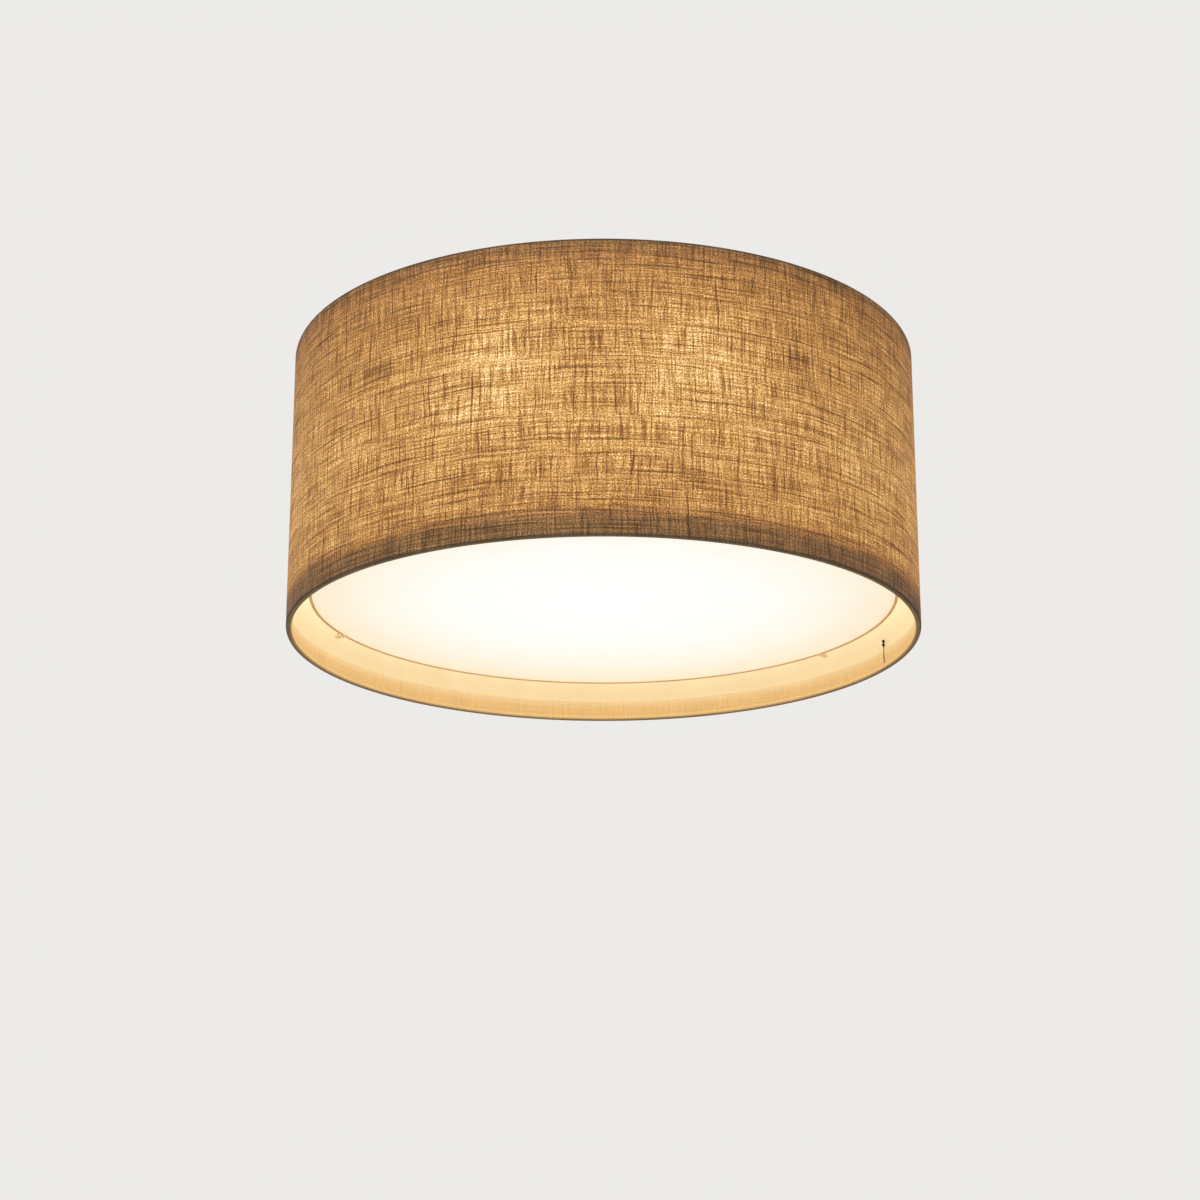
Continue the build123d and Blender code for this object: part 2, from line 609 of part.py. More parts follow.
def hex_nut(bottom):
    bore = rod(TUBE_DIAMETER / 2 + FIT_CLEARANCE, bottom, bottom + HEX_NUT_HEIGHT)
    return hexagon(HEX_NUT_WIDTH, bottom, bottom + HEX_NUT_HEIGHT) - bore


def tube_nuts():
    return [hex_nut(PAN_FLOOR_Z), hex_nut(BRACKET_BOTTOM_Z - HEX_NUT_HEIGHT)]


def lampholder_bracket():
    """A three-legged bracket of bent steel under the pan."""
    width = BRACKET_LEG_WIDTH / 2
    leg_bottom = HOLDER_Z - BRACKET_LEG_END
    hole = rod(TUBE_DIAMETER / 2 + FIT_CLEARANCE, -BRACKET_THICKNESS, 2 * BRACKET_THICKNESS)
    pieces = [rod(width, BRACKET_BOTTOM_Z, BRACKET_TOP_Z)]
    for azimuth in around(LAMP_AZIMUTH):
        strip = block((0, BRACKET_LEG_RADIUS), (-width, width), (BRACKET_BOTTOM_Z, BRACKET_TOP_Z))
        leg = block((LEG_INNER_R, BRACKET_LEG_RADIUS), (-width, width), (leg_bottom, BRACKET_TOP_Z))
        leg = fillet(leg.edges().filter_by(Axis.X).group_by(Axis.Z)[0], width / 2)
        pieces.append(Rot(0, 0, azimuth) * (strip + leg))
    bracket = merged(pieces)
    for azimuth in around(LAMP_AZIMUTH):
        bracket -= outward(azimuth, LEG_INNER_R, HOLDER_Z) * hole
    return bracket - rod(TUBE_DIAMETER / 2 + FIT_CLEARANCE, BRACKET_BOTTOM_Z, BRACKET_TOP_Z)


def holder_nipples():
    """The threaded nipples through the legs into the lampholders' backs."""
    start = -BRACKET_THICKNESS - NIPPLE_INSIDE
    tube = ring(TUBE_BORE / 2, TUBE_DIAMETER / 2, start, HOLDER_FLOOR - 2 * FIT_CLEARANCE)
    return [outward(azimuth, BRACKET_LEG_RADIUS, HOLDER_Z) * tube for azimuth in around(LAMP_AZIMUTH)]


def nipple_nuts():
    nut = hex_nut(-BRACKET_THICKNESS - HEX_NUT_HEIGHT)
    return [outward(azimuth, BRACKET_LEG_RADIUS, HOLDER_Z) * nut for azimuth in around(LAMP_AZIMUTH)]


def lampholder(azimuth):
    """A moulded shell with a round mouth that points away from the centre."""
    back_r = HOLDER_BACK_DIAMETER / 2
    skirt_r = HOLDER_DIAMETER / 2
    nipple_r = TUBE_DIAMETER / 2 + FIT_CLEARANCE
    shoulder = HOLDER_BACK_LENGTH + HOLDER_SHOULDER_LENGTH
    shell = turned(
        (nipple_r, 0),
        (back_r, 0),
        (back_r, HOLDER_BACK_LENGTH),
        (skirt_r, shoulder),
        (skirt_r, HOLDER_LENGTH),
        (HOLDER_BORE_R, HOLDER_LENGTH),
        (HOLDER_BORE_R, HOLDER_FLOOR),
        (nipple_r, HOLDER_FLOOR),
    )
    return outward(azimuth, BRACKET_LEG_RADIUS, HOLDER_Z) * shell


def holder_sleeve(azimuth):
    """The threaded metal sleeve inside a lampholder."""
    sleeve = ring(SLEEVE_INNER_R, SLEEVE_OUTER_R, SLEEVE_START, SLEEVE_START + SLEEVE_LENGTH)
    return outward(azimuth, BRACKET_LEG_RADIUS, HOLDER_Z) * sleeve


def holder_contact(azimuth):
    """The sprung centre contact on a lampholder's floor."""
    plate_top = HOLDER_FLOOR + CONTACT_PLATE
    plate = rod(CONTACT_DIAMETER / 2, HOLDER_FLOOR, plate_top)
    spring = rod(CONTACT_SPRING_DIAMETER / 2, plate_top, plate_top + CONTACT_SPRING_HEIGHT)
    spring = fillet(spring.edges().filter_by(GeomType.CIRCLE).sort_by(Axis.Z)[-1], CONTACT_SPRING_HEIGHT / 2)
    return outward(azimuth, BRACKET_LEG_RADIUS, HOLDER_Z) * (plate + spring)


# ---- lamps ----


def lamp_place(azimuth):
    """The place of a lamp's tip, with local Z along the lamp."""
    return outward(azimuth, BRACKET_LEG_RADIUS + LAMP_START, HOLDER_Z)


def lamp_cap(azimuth):
    """A screw cap: contact button, insulator and a shell with rounded turns."""
    root_r = CAP_R - CAP_THREAD_DEPTH
    button_r = CAP_BUTTON_DIAMETER / 2
    outline = [(0, 0), (button_r, 0), (button_r, CAP_BUTTON_HEIGHT), (root_r, CAP_SHELL_START)]
    for turn in range(CAP_THREAD_TURNS):
        start = CAP_SHELL_START + turn * CAP_THREAD_PITCH
        crest = start + CAP_THREAD_PITCH / 2
        outline.append((CAP_R, crest - CAP_CREST_WIDTH / 2))
        outline.append((CAP_R, crest + CAP_CREST_WIDTH / 2))
        outline.append((root_r, start + CAP_THREAD_PITCH))
    bore_r = root_r - CAP_WALL
    outline += [(bore_r, CAP_LENGTH), (bore_r, CAP_SHELL_START + CAP_WALL), (0, CAP_SHELL_START + CAP_WALL)]
    return lamp_place(azimuth) * turned(*outline)


def lamp_collar(azimuth):
    """The plastic neck between a lamp's cap and its globe."""
    neck_r = COLLAR_NECK_DIAMETER / 2
    neck_end = CAP_LENGTH + COLLAR_NECK_LENGTH
    collar = turned(
        (0, CAP_LENGTH),
        (neck_r, CAP_LENGTH),
        (neck_r, neck_end),
        (GLOBE_NECK_DIAMETER / 2, GLOBE_NECK_START),
        (0, GLOBE_NECK_START),
    )
    return lamp_place(azimuth) * collar


def lamp_globe(azimuth):
    """The opal globe, a thin shell on its collar."""
    globe_r = GLOBE_DIAMETER / 2
    middle = Pos(0, 0, GLOBE_CENTRE)
    shell = middle * Sphere(globe_r) - middle * Sphere(globe_r - GLOBE_WALL)
    below = rod(2 * globe_r, GLOBE_CENTRE - 2 * globe_r, GLOBE_NECK_START)
    return lamp_place(azimuth) * (shell - below)


# ---- the files, one per piece or group of identical fasteners ----


def numbered(name, make, first):
    """Like pieces, one node each, numbered from 1."""
    return {f"{name}_{i + 1}": make(azimuth) for i, azimuth in enumerate(around(first))}


def all_pieces():
    pieces = {
        "carrier_frame": carrier_frame(),
        "arm_bushes": arm_bushes(),
        "ceiling_pan": ceiling_pan(),
        "pan_studs": pan_studs(),
        "cap_nuts": cap_nuts(),
        "terminal_block": terminal_block(),
        "terminal_screws": terminal_screws(),
        "earth_screw": earth_screw(),
        "cable_grommet": cable_grommet(),
        "live_leads": live_leads(),
        "neutral_leads": neutral_leads(),
        "centre_tube": centre_tube(),
        "tube_nuts": tube_nuts(),
        "lampholder_bracket": lampholder_bracket(),
        "holder_nipples": holder_nipples(),
        "nipple_nuts": nipple_nuts(),
        "top_ring": top_ring(),
        "bottom_ring": bottom_ring(),
        "top_hem": top_hem(),
        "bottom_hem": bottom_hem(),
        "shade_cover": shade_cover(),
        "shade_liner": shade_liner(),
        "seam_lap": seam_lap(),
        "diffuser_panel": diffuser_panel(),
        "diffuser_binding": diffuser_binding(),
    }
    pieces.update(numbered("lampholder", lampholder, LAMP_AZIMUTH))
    pieces.update(numbered("holder_sleeve", holder_sleeve, LAMP_AZIMUTH))
    pieces.update(numbered("holder_contact", holder_contact, LAMP_AZIMUTH))
    pieces.update(numbered("lamp_cap", lamp_cap, LAMP_AZIMUTH))
    pieces.update(numbered("lamp_collar", lamp_collar, LAMP_AZIMUTH))
    pieces.update(numbered("lamp_globe", lamp_globe, LAMP_AZIMUTH))
    pieces.update(numbered("thumbscrew", thumbscrew, ARM_AZIMUTH))
    pieces.update(numbered("diffuser_hanger", hanger, HANGER_AZIMUTH))
    pieces.update(numbered("hanger_foot", hanger_foot, HANGER_AZIMUTH))
    return pieces


os.makedirs("parts", exist_ok=True)
for name, piece in all_pieces().items():
    shape = Compound(children=piece) if isinstance(piece, list) else piece
    export_step(shape, f"parts/{name}.step")
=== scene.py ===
import math

import bmesh
import bpy
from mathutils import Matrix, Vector


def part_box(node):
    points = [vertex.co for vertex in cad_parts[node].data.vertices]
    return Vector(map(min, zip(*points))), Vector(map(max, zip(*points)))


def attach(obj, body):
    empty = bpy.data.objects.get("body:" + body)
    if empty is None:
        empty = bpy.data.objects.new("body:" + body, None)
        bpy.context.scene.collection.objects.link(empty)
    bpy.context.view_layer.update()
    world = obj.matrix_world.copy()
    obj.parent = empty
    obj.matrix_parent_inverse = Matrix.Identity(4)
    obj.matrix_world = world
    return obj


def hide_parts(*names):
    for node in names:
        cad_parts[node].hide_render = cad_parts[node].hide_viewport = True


bl_info = {
    "name": "Linen Drum Ceiling Light",
    "version": (1, 0, 0),
    "blender": (4, 5, 0),
    "location": "3D Viewport > Sidebar > Ceiling Light",
    "description": "Dresses the frame of a linen drum ceiling light, and sets up a studio",
    "category": "Add Mesh",
}

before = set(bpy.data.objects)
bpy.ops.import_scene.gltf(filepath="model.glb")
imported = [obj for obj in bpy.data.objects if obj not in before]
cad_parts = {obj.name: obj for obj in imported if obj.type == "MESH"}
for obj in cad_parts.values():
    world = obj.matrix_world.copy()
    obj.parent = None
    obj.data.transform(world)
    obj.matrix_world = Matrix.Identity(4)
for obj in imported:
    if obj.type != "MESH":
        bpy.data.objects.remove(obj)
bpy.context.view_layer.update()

MM = 0.001
COVER_LOW, COVER_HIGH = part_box("shade_cover")
HEM_LOW, HEM_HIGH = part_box("bottom_hem")
UPPER_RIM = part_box("top_hem")[1].z
BINDING_LOW, BINDING_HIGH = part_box("diffuser_binding")


# ---- what a user would change ----


def length(name, description, default):
    """A length property, in metres."""
    return bpy.props.FloatProperty(
        name=name, description=description, default=default, unit="LENGTH", precision=5
    )


def colour(name, description, default):
    """A linear colour property."""
    return bpy.props.FloatVectorProperty(
        name=name, description=description, default=default, subtype="COLOR", size=3,
        min=0.0, max=1.0,
    )


def angle(name, description, degrees):
    """An angle property, given in degrees."""
    return bpy.props.FloatProperty(
        name=name, description=description, default=math.radians(degrees), subtype="ANGLE"
    )


def count(name, description, default):
    """A whole number property."""
    return bpy.props.IntProperty(
        name=name, description=description, default=default, min=3, subtype="UNSIGNED"
    )


def number(name, description, default, subtype):
    """A number property."""
    return bpy.props.FloatProperty(
        name=name, description=description, default=default, subtype=subtype
    )


def spot(name, description, default):
    """A place property, in metres."""
    return bpy.props.FloatVectorProperty(
        name=name, description=description, default=default, subtype="TRANSLATION"
    )


class ShadeSizes(bpy.types.PropertyGroup):
    """Sizes of the linen shade."""

    radius: length("Radius", "Outer radius of the linen drum", COVER_HIGH.x)
    lower_rim: length("Lower rim", "Height of the lower rim", HEM_LOW.z)
    upper_rim: length("Upper rim", "Height of the upper rim", UPPER_RIM)
    roll: length(
        "Roll", "Outer radius of the linen round a ring wire", COVER_LOW.z - HEM_LOW.z
    )
    hem_height: length(
        "Hem height", "From a rim to the end of the turned-in linen", HEM_HIGH.z - HEM_LOW.z
    )
    hem_depth: length(
        "Hem depth", "From the drum's outer face in to the hem's inner face", 1.9 * MM
    )
    linen: length("Linen", "Thickness of the linen", 0.65 * MM)
    lap_width: length("Lap width", "Width of the seam's lap", 12 * MM)
    lap_thickness: length("Lap thickness", "Thickness of the seam's lap", 0.5 * MM)
    lap_gap: length("Lap gap", "Glue between the drum and the lap", 0.05 * MM)
    seam: angle("Seam", "Azimuth of the seam", 20.7)
    facets: count("Facets", "Facets round the drum", 256)
    rows: count("Rows", "Cuts up the drum's wall", 24)


class LinenColours(bpy.types.PropertyGroup):
    """Colours of the linen, lit from within and by the room."""

    unlit: colour("Unlit linen", "The cloth's own colour", (0.235, 0.136, 0.060))
    # rim is darker than the unlit cloth: painted shade on the rolled rims
    rim: colour("Rim", "The cloth where it is rolled over a ring wire", (0.135, 0.088, 0.052))
    lip: colour("Lip", "Light on the inner side of the rolled rim", (0.80, 0.50, 0.19))
    hem: colour("Hem", "Light on the turned-in linen, just over the rim", (0.75, 0.445, 0.155))
    hem_end: colour("Hem end", "Light on the turned-in linen, at its end", (0.87, 0.62, 0.30))
    thread: colour("Thread", "The loose dark thread", (0.045, 0.022, 0.008))


class DiffuserLook(bpy.types.PropertyGroup):
    """The opal disc, its binding and hangers, and the liner."""

    panel: colour("Panel", "The opal sheet's own colour", (0.50, 0.49, 0.47))
    binding: colour("Binding", "The binding round the disc", (0.55, 0.36, 0.20))
    binding_glow: colour("Binding glow", "The lamps' light in the binding", (0.23, 0.10, 0.03))
    hanger: colour("Hanger", "Cream coat of the wires that hold the disc", (0.62, 0.50, 0.34))
    hanger_glow: colour("Hanger glow", "The lamps' light on the hangers", (0.30, 0.20, 0.09))
    binding_width: length("Binding width", "How far the binding reaches in over the disc", 2.5 * MM)
    binding_wall: length("Binding wall", "Thickness of the binding", 0.6 * MM)
    binding_round: length("Binding round", "How far the binding's corners are rounded", 0.45 * MM)
    liner: colour("Liner", "The liner's own colour", (0.50, 0.47, 0.42))


class FittingColours(bpy.types.PropertyGroup):
    """Colours of the fittings."""

    powder_coat: colour("Powder coat", "White coat of the steel parts", (0.74, 0.73, 0.70))
    zinc: colour("Zinc", "Bright zinc plate", (0.56, 0.57, 0.58))
    wire: colour("Wire", "Drawn steel wire", (0.30, 0.28, 0.26))
    nickel: colour("Nickel", "Nickel plate", (0.66, 0.62, 0.55))
    brass: colour("Brass", "Bare brass", (0.60, 0.41, 0.16))
    holder: colour("Lampholder", "Moulded white lampholder", (0.76, 0.75, 0.71))
    terminal: colour("Terminal block", "Natural polyamide", (0.78, 0.77, 0.70))
    collar: colour("Lamp collar", "White lamp collar", (0.80, 0.80, 0.77))
    live: colour("Live lead", "Brown insulation", (0.085, 0.030, 0.012))
    neutral: colour("Neutral lead", "Blue insulation", (0.012, 0.075, 0.27))
    rubber: colour("Grommet", "Black rubber", (0.016, 0.016, 0.017))


class StudioSettings(bpy.types.PropertyGroup):
    """Camera, light and floor."""

    camera_place: spot("Camera", "Where the camera stands", (-0.0028, -2.0742, -0.8662))
    camera_tilt: angle("Camera tilt", "Turn of the camera about X", 107.735)
    lens: number("Lens", "Focal length in millimetres", 82.2, "DISTANCE_CAMERA")
    ambient: colour("Ambient", "Soft light from all round", (0.42, 0.415, 0.41))
    backdrop: colour("Backdrop", "What is seen behind the light", (0.84, 0.83, 0.81))
    floor: colour("Floor", "The studio floor", (0.80, 0.79, 0.77))
    floor_lift: number(
        "Floor lift", "How much paler the floor is shown than the room lights it", 0.45, "FACTOR"
    )
    floor_height: length("Floor height", "Height of the floor", -2.4)
    floor_size: length("Floor size", "Side of the floor", 60.0)
    key_power: number("Key light", "Power of the soft light in front", 40.0, "POWER")
    key_size: length("Key light size", "Side of the soft light in front", 1.6)
    key_colour: colour("Key light colour", "Colour of the soft light in front", (1.0, 0.98, 0.95))
    key_place: spot("Key light place", "Where the soft light stands", (-0.45, -2.6, 0.4))
    key_target: spot("Key light target", "What the soft light points at", (0.0, 0.0, -0.12))


# ---- materials ----


# Most of a noise lies between these.
NOISE_LOW, NOISE_HIGH = 0.3, 0.7


class Recipe:
    """One material's nodes, with a short call for each kind that is used here."""

    def __init__(self, name, metallic=0.0, roughness=0.5, **values):
        self.material = bpy.data.materials.new(name)
        self.material.use_nodes = True
        self.nodes = self.material.node_tree.nodes
        self.links = self.material.node_tree.links
        self.shader = self.nodes["Principled BSDF"]
        self.set(Metallic=metallic, Roughness=roughness, **values)

    def feed(self, socket, value):
        """Links a socket to another, or gives it a plain value."""
        if isinstance(value, bpy.types.NodeSocket):
            self.links.new(value, socket)
        elif hasattr(value, "__len__") and len(value) == 3 and socket.type == "RGBA":
            socket.default_value = (*value, 1.0)
        else:
            socket.default_value = value

    def set(self, **values):
        """Feeds sockets of the surface shader by name."""
        for label, value in values.items():
            self.feed(self.shader.inputs[label.replace("_", " ")], value)

    def calc(self, operation, a, b=0.0, clamp=False):
        """One step of arithmetic."""
        node = self.nodes.new("ShaderNodeMath")
        node.operation = operation
        node.use_clamp = clamp
        self.feed(node.inputs[0], a)
        self.feed(node.inputs[1], b)
        return node.outputs[0]

    def fold(self, operation, values):
        """The same step of arithmetic over all the values."""
        total, *rest = values
        for value in rest:
            total = self.calc(operation, total, value)
        return total

    def place(self, turn=0.0):
        """Object coordinates, turned about Z."""
        node = self.nodes.new("ShaderNodeTexCoord")
        if not turn:
            return node.outputs["Object"]
        mapping = self.nodes.new("ShaderNodeMapping")
        mapping.inputs["Rotation"].default_value = (0.0, 0.0, turn)
        self.links.new(node.outputs["Object"], mapping.inputs["Vector"])
        return mapping.outputs[0]

    def split(self, vector):
        """The three parts of a vector."""
        node = self.nodes.new("ShaderNodeSeparateXYZ")
        self.feed(node.inputs[0], vector)
        return node.outputs[0], node.outputs[1], node.outputs[2]

    def join(self, x, y, z=0.0):
        """A vector from three parts."""
        node = self.nodes.new("ShaderNodeCombineXYZ")
        for socket, value in zip(node.inputs, (x, y, z)):
            self.feed(socket, value)
        return node.outputs[0]

    def distance(self, vector, point):
        """How far a vector is from a fixed point."""
        node = self.nodes.new("ShaderNodeVectorMath")
        node.operation = "DISTANCE"
        self.feed(node.inputs[0], vector)
        node.inputs[1].default_value = point
        return node.outputs["Value"]

    def from_axis(self, vector):
        """How far a vector is from the Z axis."""
        x, y, _ = self.split(vector)
        squares = (self.calc("MULTIPLY", part, part) for part in (x, y))
        return self.calc("SQRT", self.fold("ADD", squares))

    def noise(self, vector, scale, detail=2.0):
        """Soft noise from 0 to 1, with scale in waves per unit."""
        node = self.nodes.new("ShaderNodeTexNoise")
        self.feed(node.inputs["Vector"], vector)
        node.inputs["Scale"].default_value = scale
        node.inputs["Detail"].default_value = detail
        return node.outputs[0]

    def between(self, value, low, high, start=0.0, end=1.0):
        """A value's place between low and high, as start to end."""
        node = self.nodes.new("ShaderNodeMapRange")
        self.feed(node.inputs[0], value)
        for i, limit in enumerate((low, high, start, end), 1):
            node.inputs[i].default_value = limit
        return node.outputs[0]

    def vary(self, noise, amount):
        """Noise turned into a factor from 1 - amount to 1 + amount."""
        return self.between(noise, NOISE_LOW, NOISE_HIGH, 1 - amount, 1 + amount)

    def ramp(self, value, stops):
        """A colour, or a grey, looked up between stops of (place, colour)."""
        node = self.nodes.new("ShaderNodeValToRGB")
        elements = node.color_ramp.elements
        while len(elements) < len(stops):
            elements.new(1.0)
        for element, (at, shade) in zip(elements, stops):
            element.position = at
            rgb = tuple(shade) if hasattr(shade, "__len__") else (shade, shade, shade)
            element.color = (*rgb, 1.0)
        self.feed(node.inputs[0], value)
        return node.outputs[0]

    def scaled(self, shade, factor):
        """A colour times a number."""
        node = self.nodes.new("ShaderNodeVectorMath")
        node.operation = "SCALE"
        self.feed(node.inputs[0], shade)
        self.feed(node.inputs["Scale"], factor)
        return node.outputs[0]

    def bump(self, height, depth, strength):
        """Relief from a height from 0 to 1, depth metres deep."""
        node = self.nodes.new("ShaderNodeBump")
        node.inputs["Strength"].default_value = strength
        node.inputs["Distance"].default_value = depth
        self.feed(node.inputs["Height"], height)
        self.links.new(node.outputs[0], self.shader.inputs["Normal"])

    def glow(self, shade):
        """Light that the surface gives off."""
        self.set(Emission_Color=shade, Emission_Strength=1.0)


def shown_rays(nodes, links):
    """1 for a ray that the camera sees, straight, in gloss or through glass, and 0 for others."""
    path = nodes.new("ShaderNodeLightPath")
    shown = path.outputs["Is Camera Ray"]
    for kind in ("Is Glossy Ray", "Is Transmission Ray"):
        node = nodes.new("ShaderNodeMath")
        node.operation = "MAXIMUM"
        links.new(shown, node.inputs[0])
        links.new(path.outputs[kind], node.inputs[1])
        shown = node.outputs[0]
    return shown


# Noises in the cloth: size along the weft, size along the warp, both in millimetres, and detail.
WANDER_NOISE = (45.0, 28.0, 2.0)
WEFT_NOISE = (40.0, 1.6, 2.0)
WARP_NOISE = (1.6, 24.0, 2.0)
GRAIN_NOISE = (1.25, 1.15, 1.0)
CLOUD_NOISE = (26.0, 20.0, 3.0)
# How much each one changes the light that comes through.
WEFT_SWING = 1.7
WARP_SWING = 1.7
GRAIN_SWING = 3.0
CLOUD_SWING = 0.4
# How far the threads stray from straight, in millimetres.
WANDER = 1.6
# Thick threads: length along the weft, length along the warp and width, all in millimetres, the
# noise that they start at, and the share of the light that they hold back.
SLUBS = (
    (130.0, 50.0, 2.5, 0.655, 0.50),
    (85.0, 34.0, 1.8, 0.605, 0.42),
    (55.0, 24.0, 1.35, 0.60, 0.35),
)
SLUB_DETAIL = 1.0
# How much further the noise goes before a thick thread is at its thickest.
SLUB_EDGE = 0.04
CLOTH_FINISH = {"roughness": 0.92, "Sheen_Weight": 0.06, "Specular_IOR_Level": 0.2}
CLOTH_RELIEF = 0.18 * MM
CLOTH_RELIEF_STRENGTH = 0.7


def cloth_place(recipe, wrap):
    """Arc and height in millimetres on the drum, joined at the azimuth wrap."""
    x, y, z = recipe.split(recipe.place(math.pi - wrap))
    radius = bpy.context.scene.shade_sizes.radius / MM
    arc = recipe.calc("MULTIPLY", recipe.calc("ARCTAN2", y, x), radius)
    return arc, recipe.calc("MULTIPLY", z, 1 / MM)


def streaks(recipe, place, noise):
    """Noise drawn out along the weft or the warp."""
    arc, height = place
    along, across, detail = noise
    vector = recipe.join(recipe.calc("DIVIDE", arc, along), recipe.calc("DIVIDE", height, across))
    return recipe.noise(vector, 1.0, detail)


def swing(recipe, place, noise, amount):
    """Streaks turned into a factor about 1."""
    value = streaks(recipe, place, noise)
    return recipe.between(value, 0.0, 1.0, 1 - amount / 2, 1 + amount / 2)


def weave(recipe, arc, height):
    """How much light each bit of the cloth lets through, about 1: threads, slubs and grain."""
    straight = (arc, height)
    stray = recipe.between(streaks(recipe, straight, WANDER_NOISE), 0.0, 1.0, -WANDER, WANDER)
    weft = (arc, recipe.calc("ADD", height, stray))
    warp = (recipe.calc("ADD", arc, stray), height)
    factors = [
        swing(recipe, weft, WEFT_NOISE, WEFT_SWING),
        swing(recipe, warp, WARP_NOISE, WARP_SWING),
        swing(recipe, straight, GRAIN_NOISE, GRAIN_SWING),
        swing(recipe, straight, CLOUD_NOISE, CLOUD_SWING),
    ]
    for weft_length, warp_length, width, start, held_back in SLUBS:
        for place, sizes in ((weft, (weft_length, width)), (warp, (width, warp_length))):
            value = streaks(recipe, place, (*sizes, SLUB_DETAIL))
            factors.append(recipe.between(value, start, start + SLUB_EDGE, 1.0, 1 - held_back))
    return recipe.fold("MULTIPLY", factors)


def woven(name, wrap):
    """A recipe with the cloth's relief, and its weave."""
    recipe = Recipe(name, **CLOTH_FINISH)
    cloth = weave(recipe, *cloth_place(recipe, wrap))
    recipe.bump(recipe.between(cloth, 0.0, 2.0), CLOTH_RELIEF, CLOTH_RELIEF_STRENGTH)
    return recipe, cloth


# Light through the linen: its strength by height over the lower rim in millimetres. It is strongest
# a little below the drum's middle and falls off towards both rims; the dip over the lower rim is
# the diffuser's painted shadow. Apart from the hot spots, it is the same all round the drum.
WALL_LIGHT = (
    (0, 0.08), (14, 0.2), (26, 0.86), (90, 1.1), (180, 0.76), (212, 0.6), (227, 0.2), (230, 0.05),
)
WALL_LIGHT_LEVEL = 0.75
# Its colour by strength.
LIGHT_TOP = 2.0
LIGHT_COLOURS = (
    (0.0, (0.0, 0.0, 0.0)),
    (0.1, (0.055, 0.019, 0.005)),
    (0.3, (0.185, 0.063, 0.011)),
    (0.58, (0.365, 0.158, 0.030)),
    (1.0, (0.60, 0.345, 0.100)),
    (1.25, (0.73, 0.455, 0.15)),
    (1.6, (0.86, 0.65, 0.31)),
    (LIGHT_TOP, (0.96, 0.84, 0.55)),
)
# The lamps' hot spots in the linen: the two that the front view shows, and the same again at every
# 120 degrees. Their height over the lower rim is in millimetres.
HOT_SPOT_AZIMUTHS = (-108, -75, 12, 45, 132, 165)
HOT_SPOT_HEIGHT = 138
HOT_SPOT_SIZE = 34 * MM
HOT_SPOT_LIGHT = 0.6
# To the power of a distance's square, this is a bell curve.
BELL_BASE = math.exp(-0.5)
# How the weave's factor, from and to, is taken up by a colour, from and to.
DRUM_TONE = (0.2, 2.0, 0.3, 1.85)
HEM_TONE = (0.3, 1.7, 0.6, 1.4)
HEM_GLOW_TONE = (0.2, 2.0, 0.94, 1.06)


def wall_light(recipe):
    """The strength of the lamps' light in the drum's wall."""
    sizes = bpy.context.scene.shade_sizes
    where = recipe.place()
    z = recipe.split(where)[2]
    tall = (sizes.upper_rim - sizes.lower_rim) / MM
    up = recipe.between(z, sizes.lower_rim, sizes.upper_rim)
    by_height = recipe.ramp(up, [(height / tall, light) for height, light in WALL_LIGHT])
    spot_height = sizes.lower_rim + HOT_SPOT_HEIGHT * MM
    spots = []
    for azimuth in HOT_SPOT_AZIMUTHS:
        a = math.radians(azimuth)
        point = (sizes.radius * math.cos(a), sizes.radius * math.sin(a), spot_height)
        far = recipe.calc("DIVIDE", recipe.distance(where, point), HOT_SPOT_SIZE)
        spots.append(recipe.calc("POWER", BELL_BASE, recipe.calc("MULTIPLY", far, far)))
    spots = recipe.calc("MULTIPLY", recipe.fold("ADD", spots), HOT_SPOT_LIGHT)
    return recipe.calc("MULTIPLY", recipe.calc("ADD", by_height, spots), WALL_LIGHT_LEVEL)


def linen(name, wrap):
    """Slubby woven linen with the lamps' light in it."""
    unlit = bpy.context.scene.linen_colours.unlit
    recipe, cloth = woven(name, wrap)
    strength = recipe.calc("MULTIPLY", wall_light(recipe), cloth)
    stops = [(at / LIGHT_TOP, shade) for at, shade in LIGHT_COLOURS]
    recipe.glow(recipe.ramp(recipe.calc("DIVIDE", strength, LIGHT_TOP), stops))
    recipe.set(Base_Color=recipe.scaled(tuple(unlit), recipe.between(cloth, *DRUM_TONE)))
    return recipe.material


# The light on a hem's inner side: millimetres from the rim, and shares of lip, hem and hem end.
HEM_LIGHT = (
    (0.0, (1 / 9, 0.0, 0.0)),
    (0.9, (1 / 3, 0.0, 0.0)),
    (1.6, (2.2 / 3, 0.0, 0.0)),
    (2.3, (1.0, 0.0, 0.0)),
    (3.6, (1.0, 0.0, 0.0)),
    (5.0, (0.0, 1.0, 0.0)),
    (11.0, (0.0, 0.8, 0.2)),
    (18.0, (0.0, 0.0, 1.0)),
)
# Depth under the drum's outer face where that light is full, and where it ends.
HEM_LIT_DEPTH = 1.3 * MM
HEM_UNLIT_DEPTH = 0.9 * MM


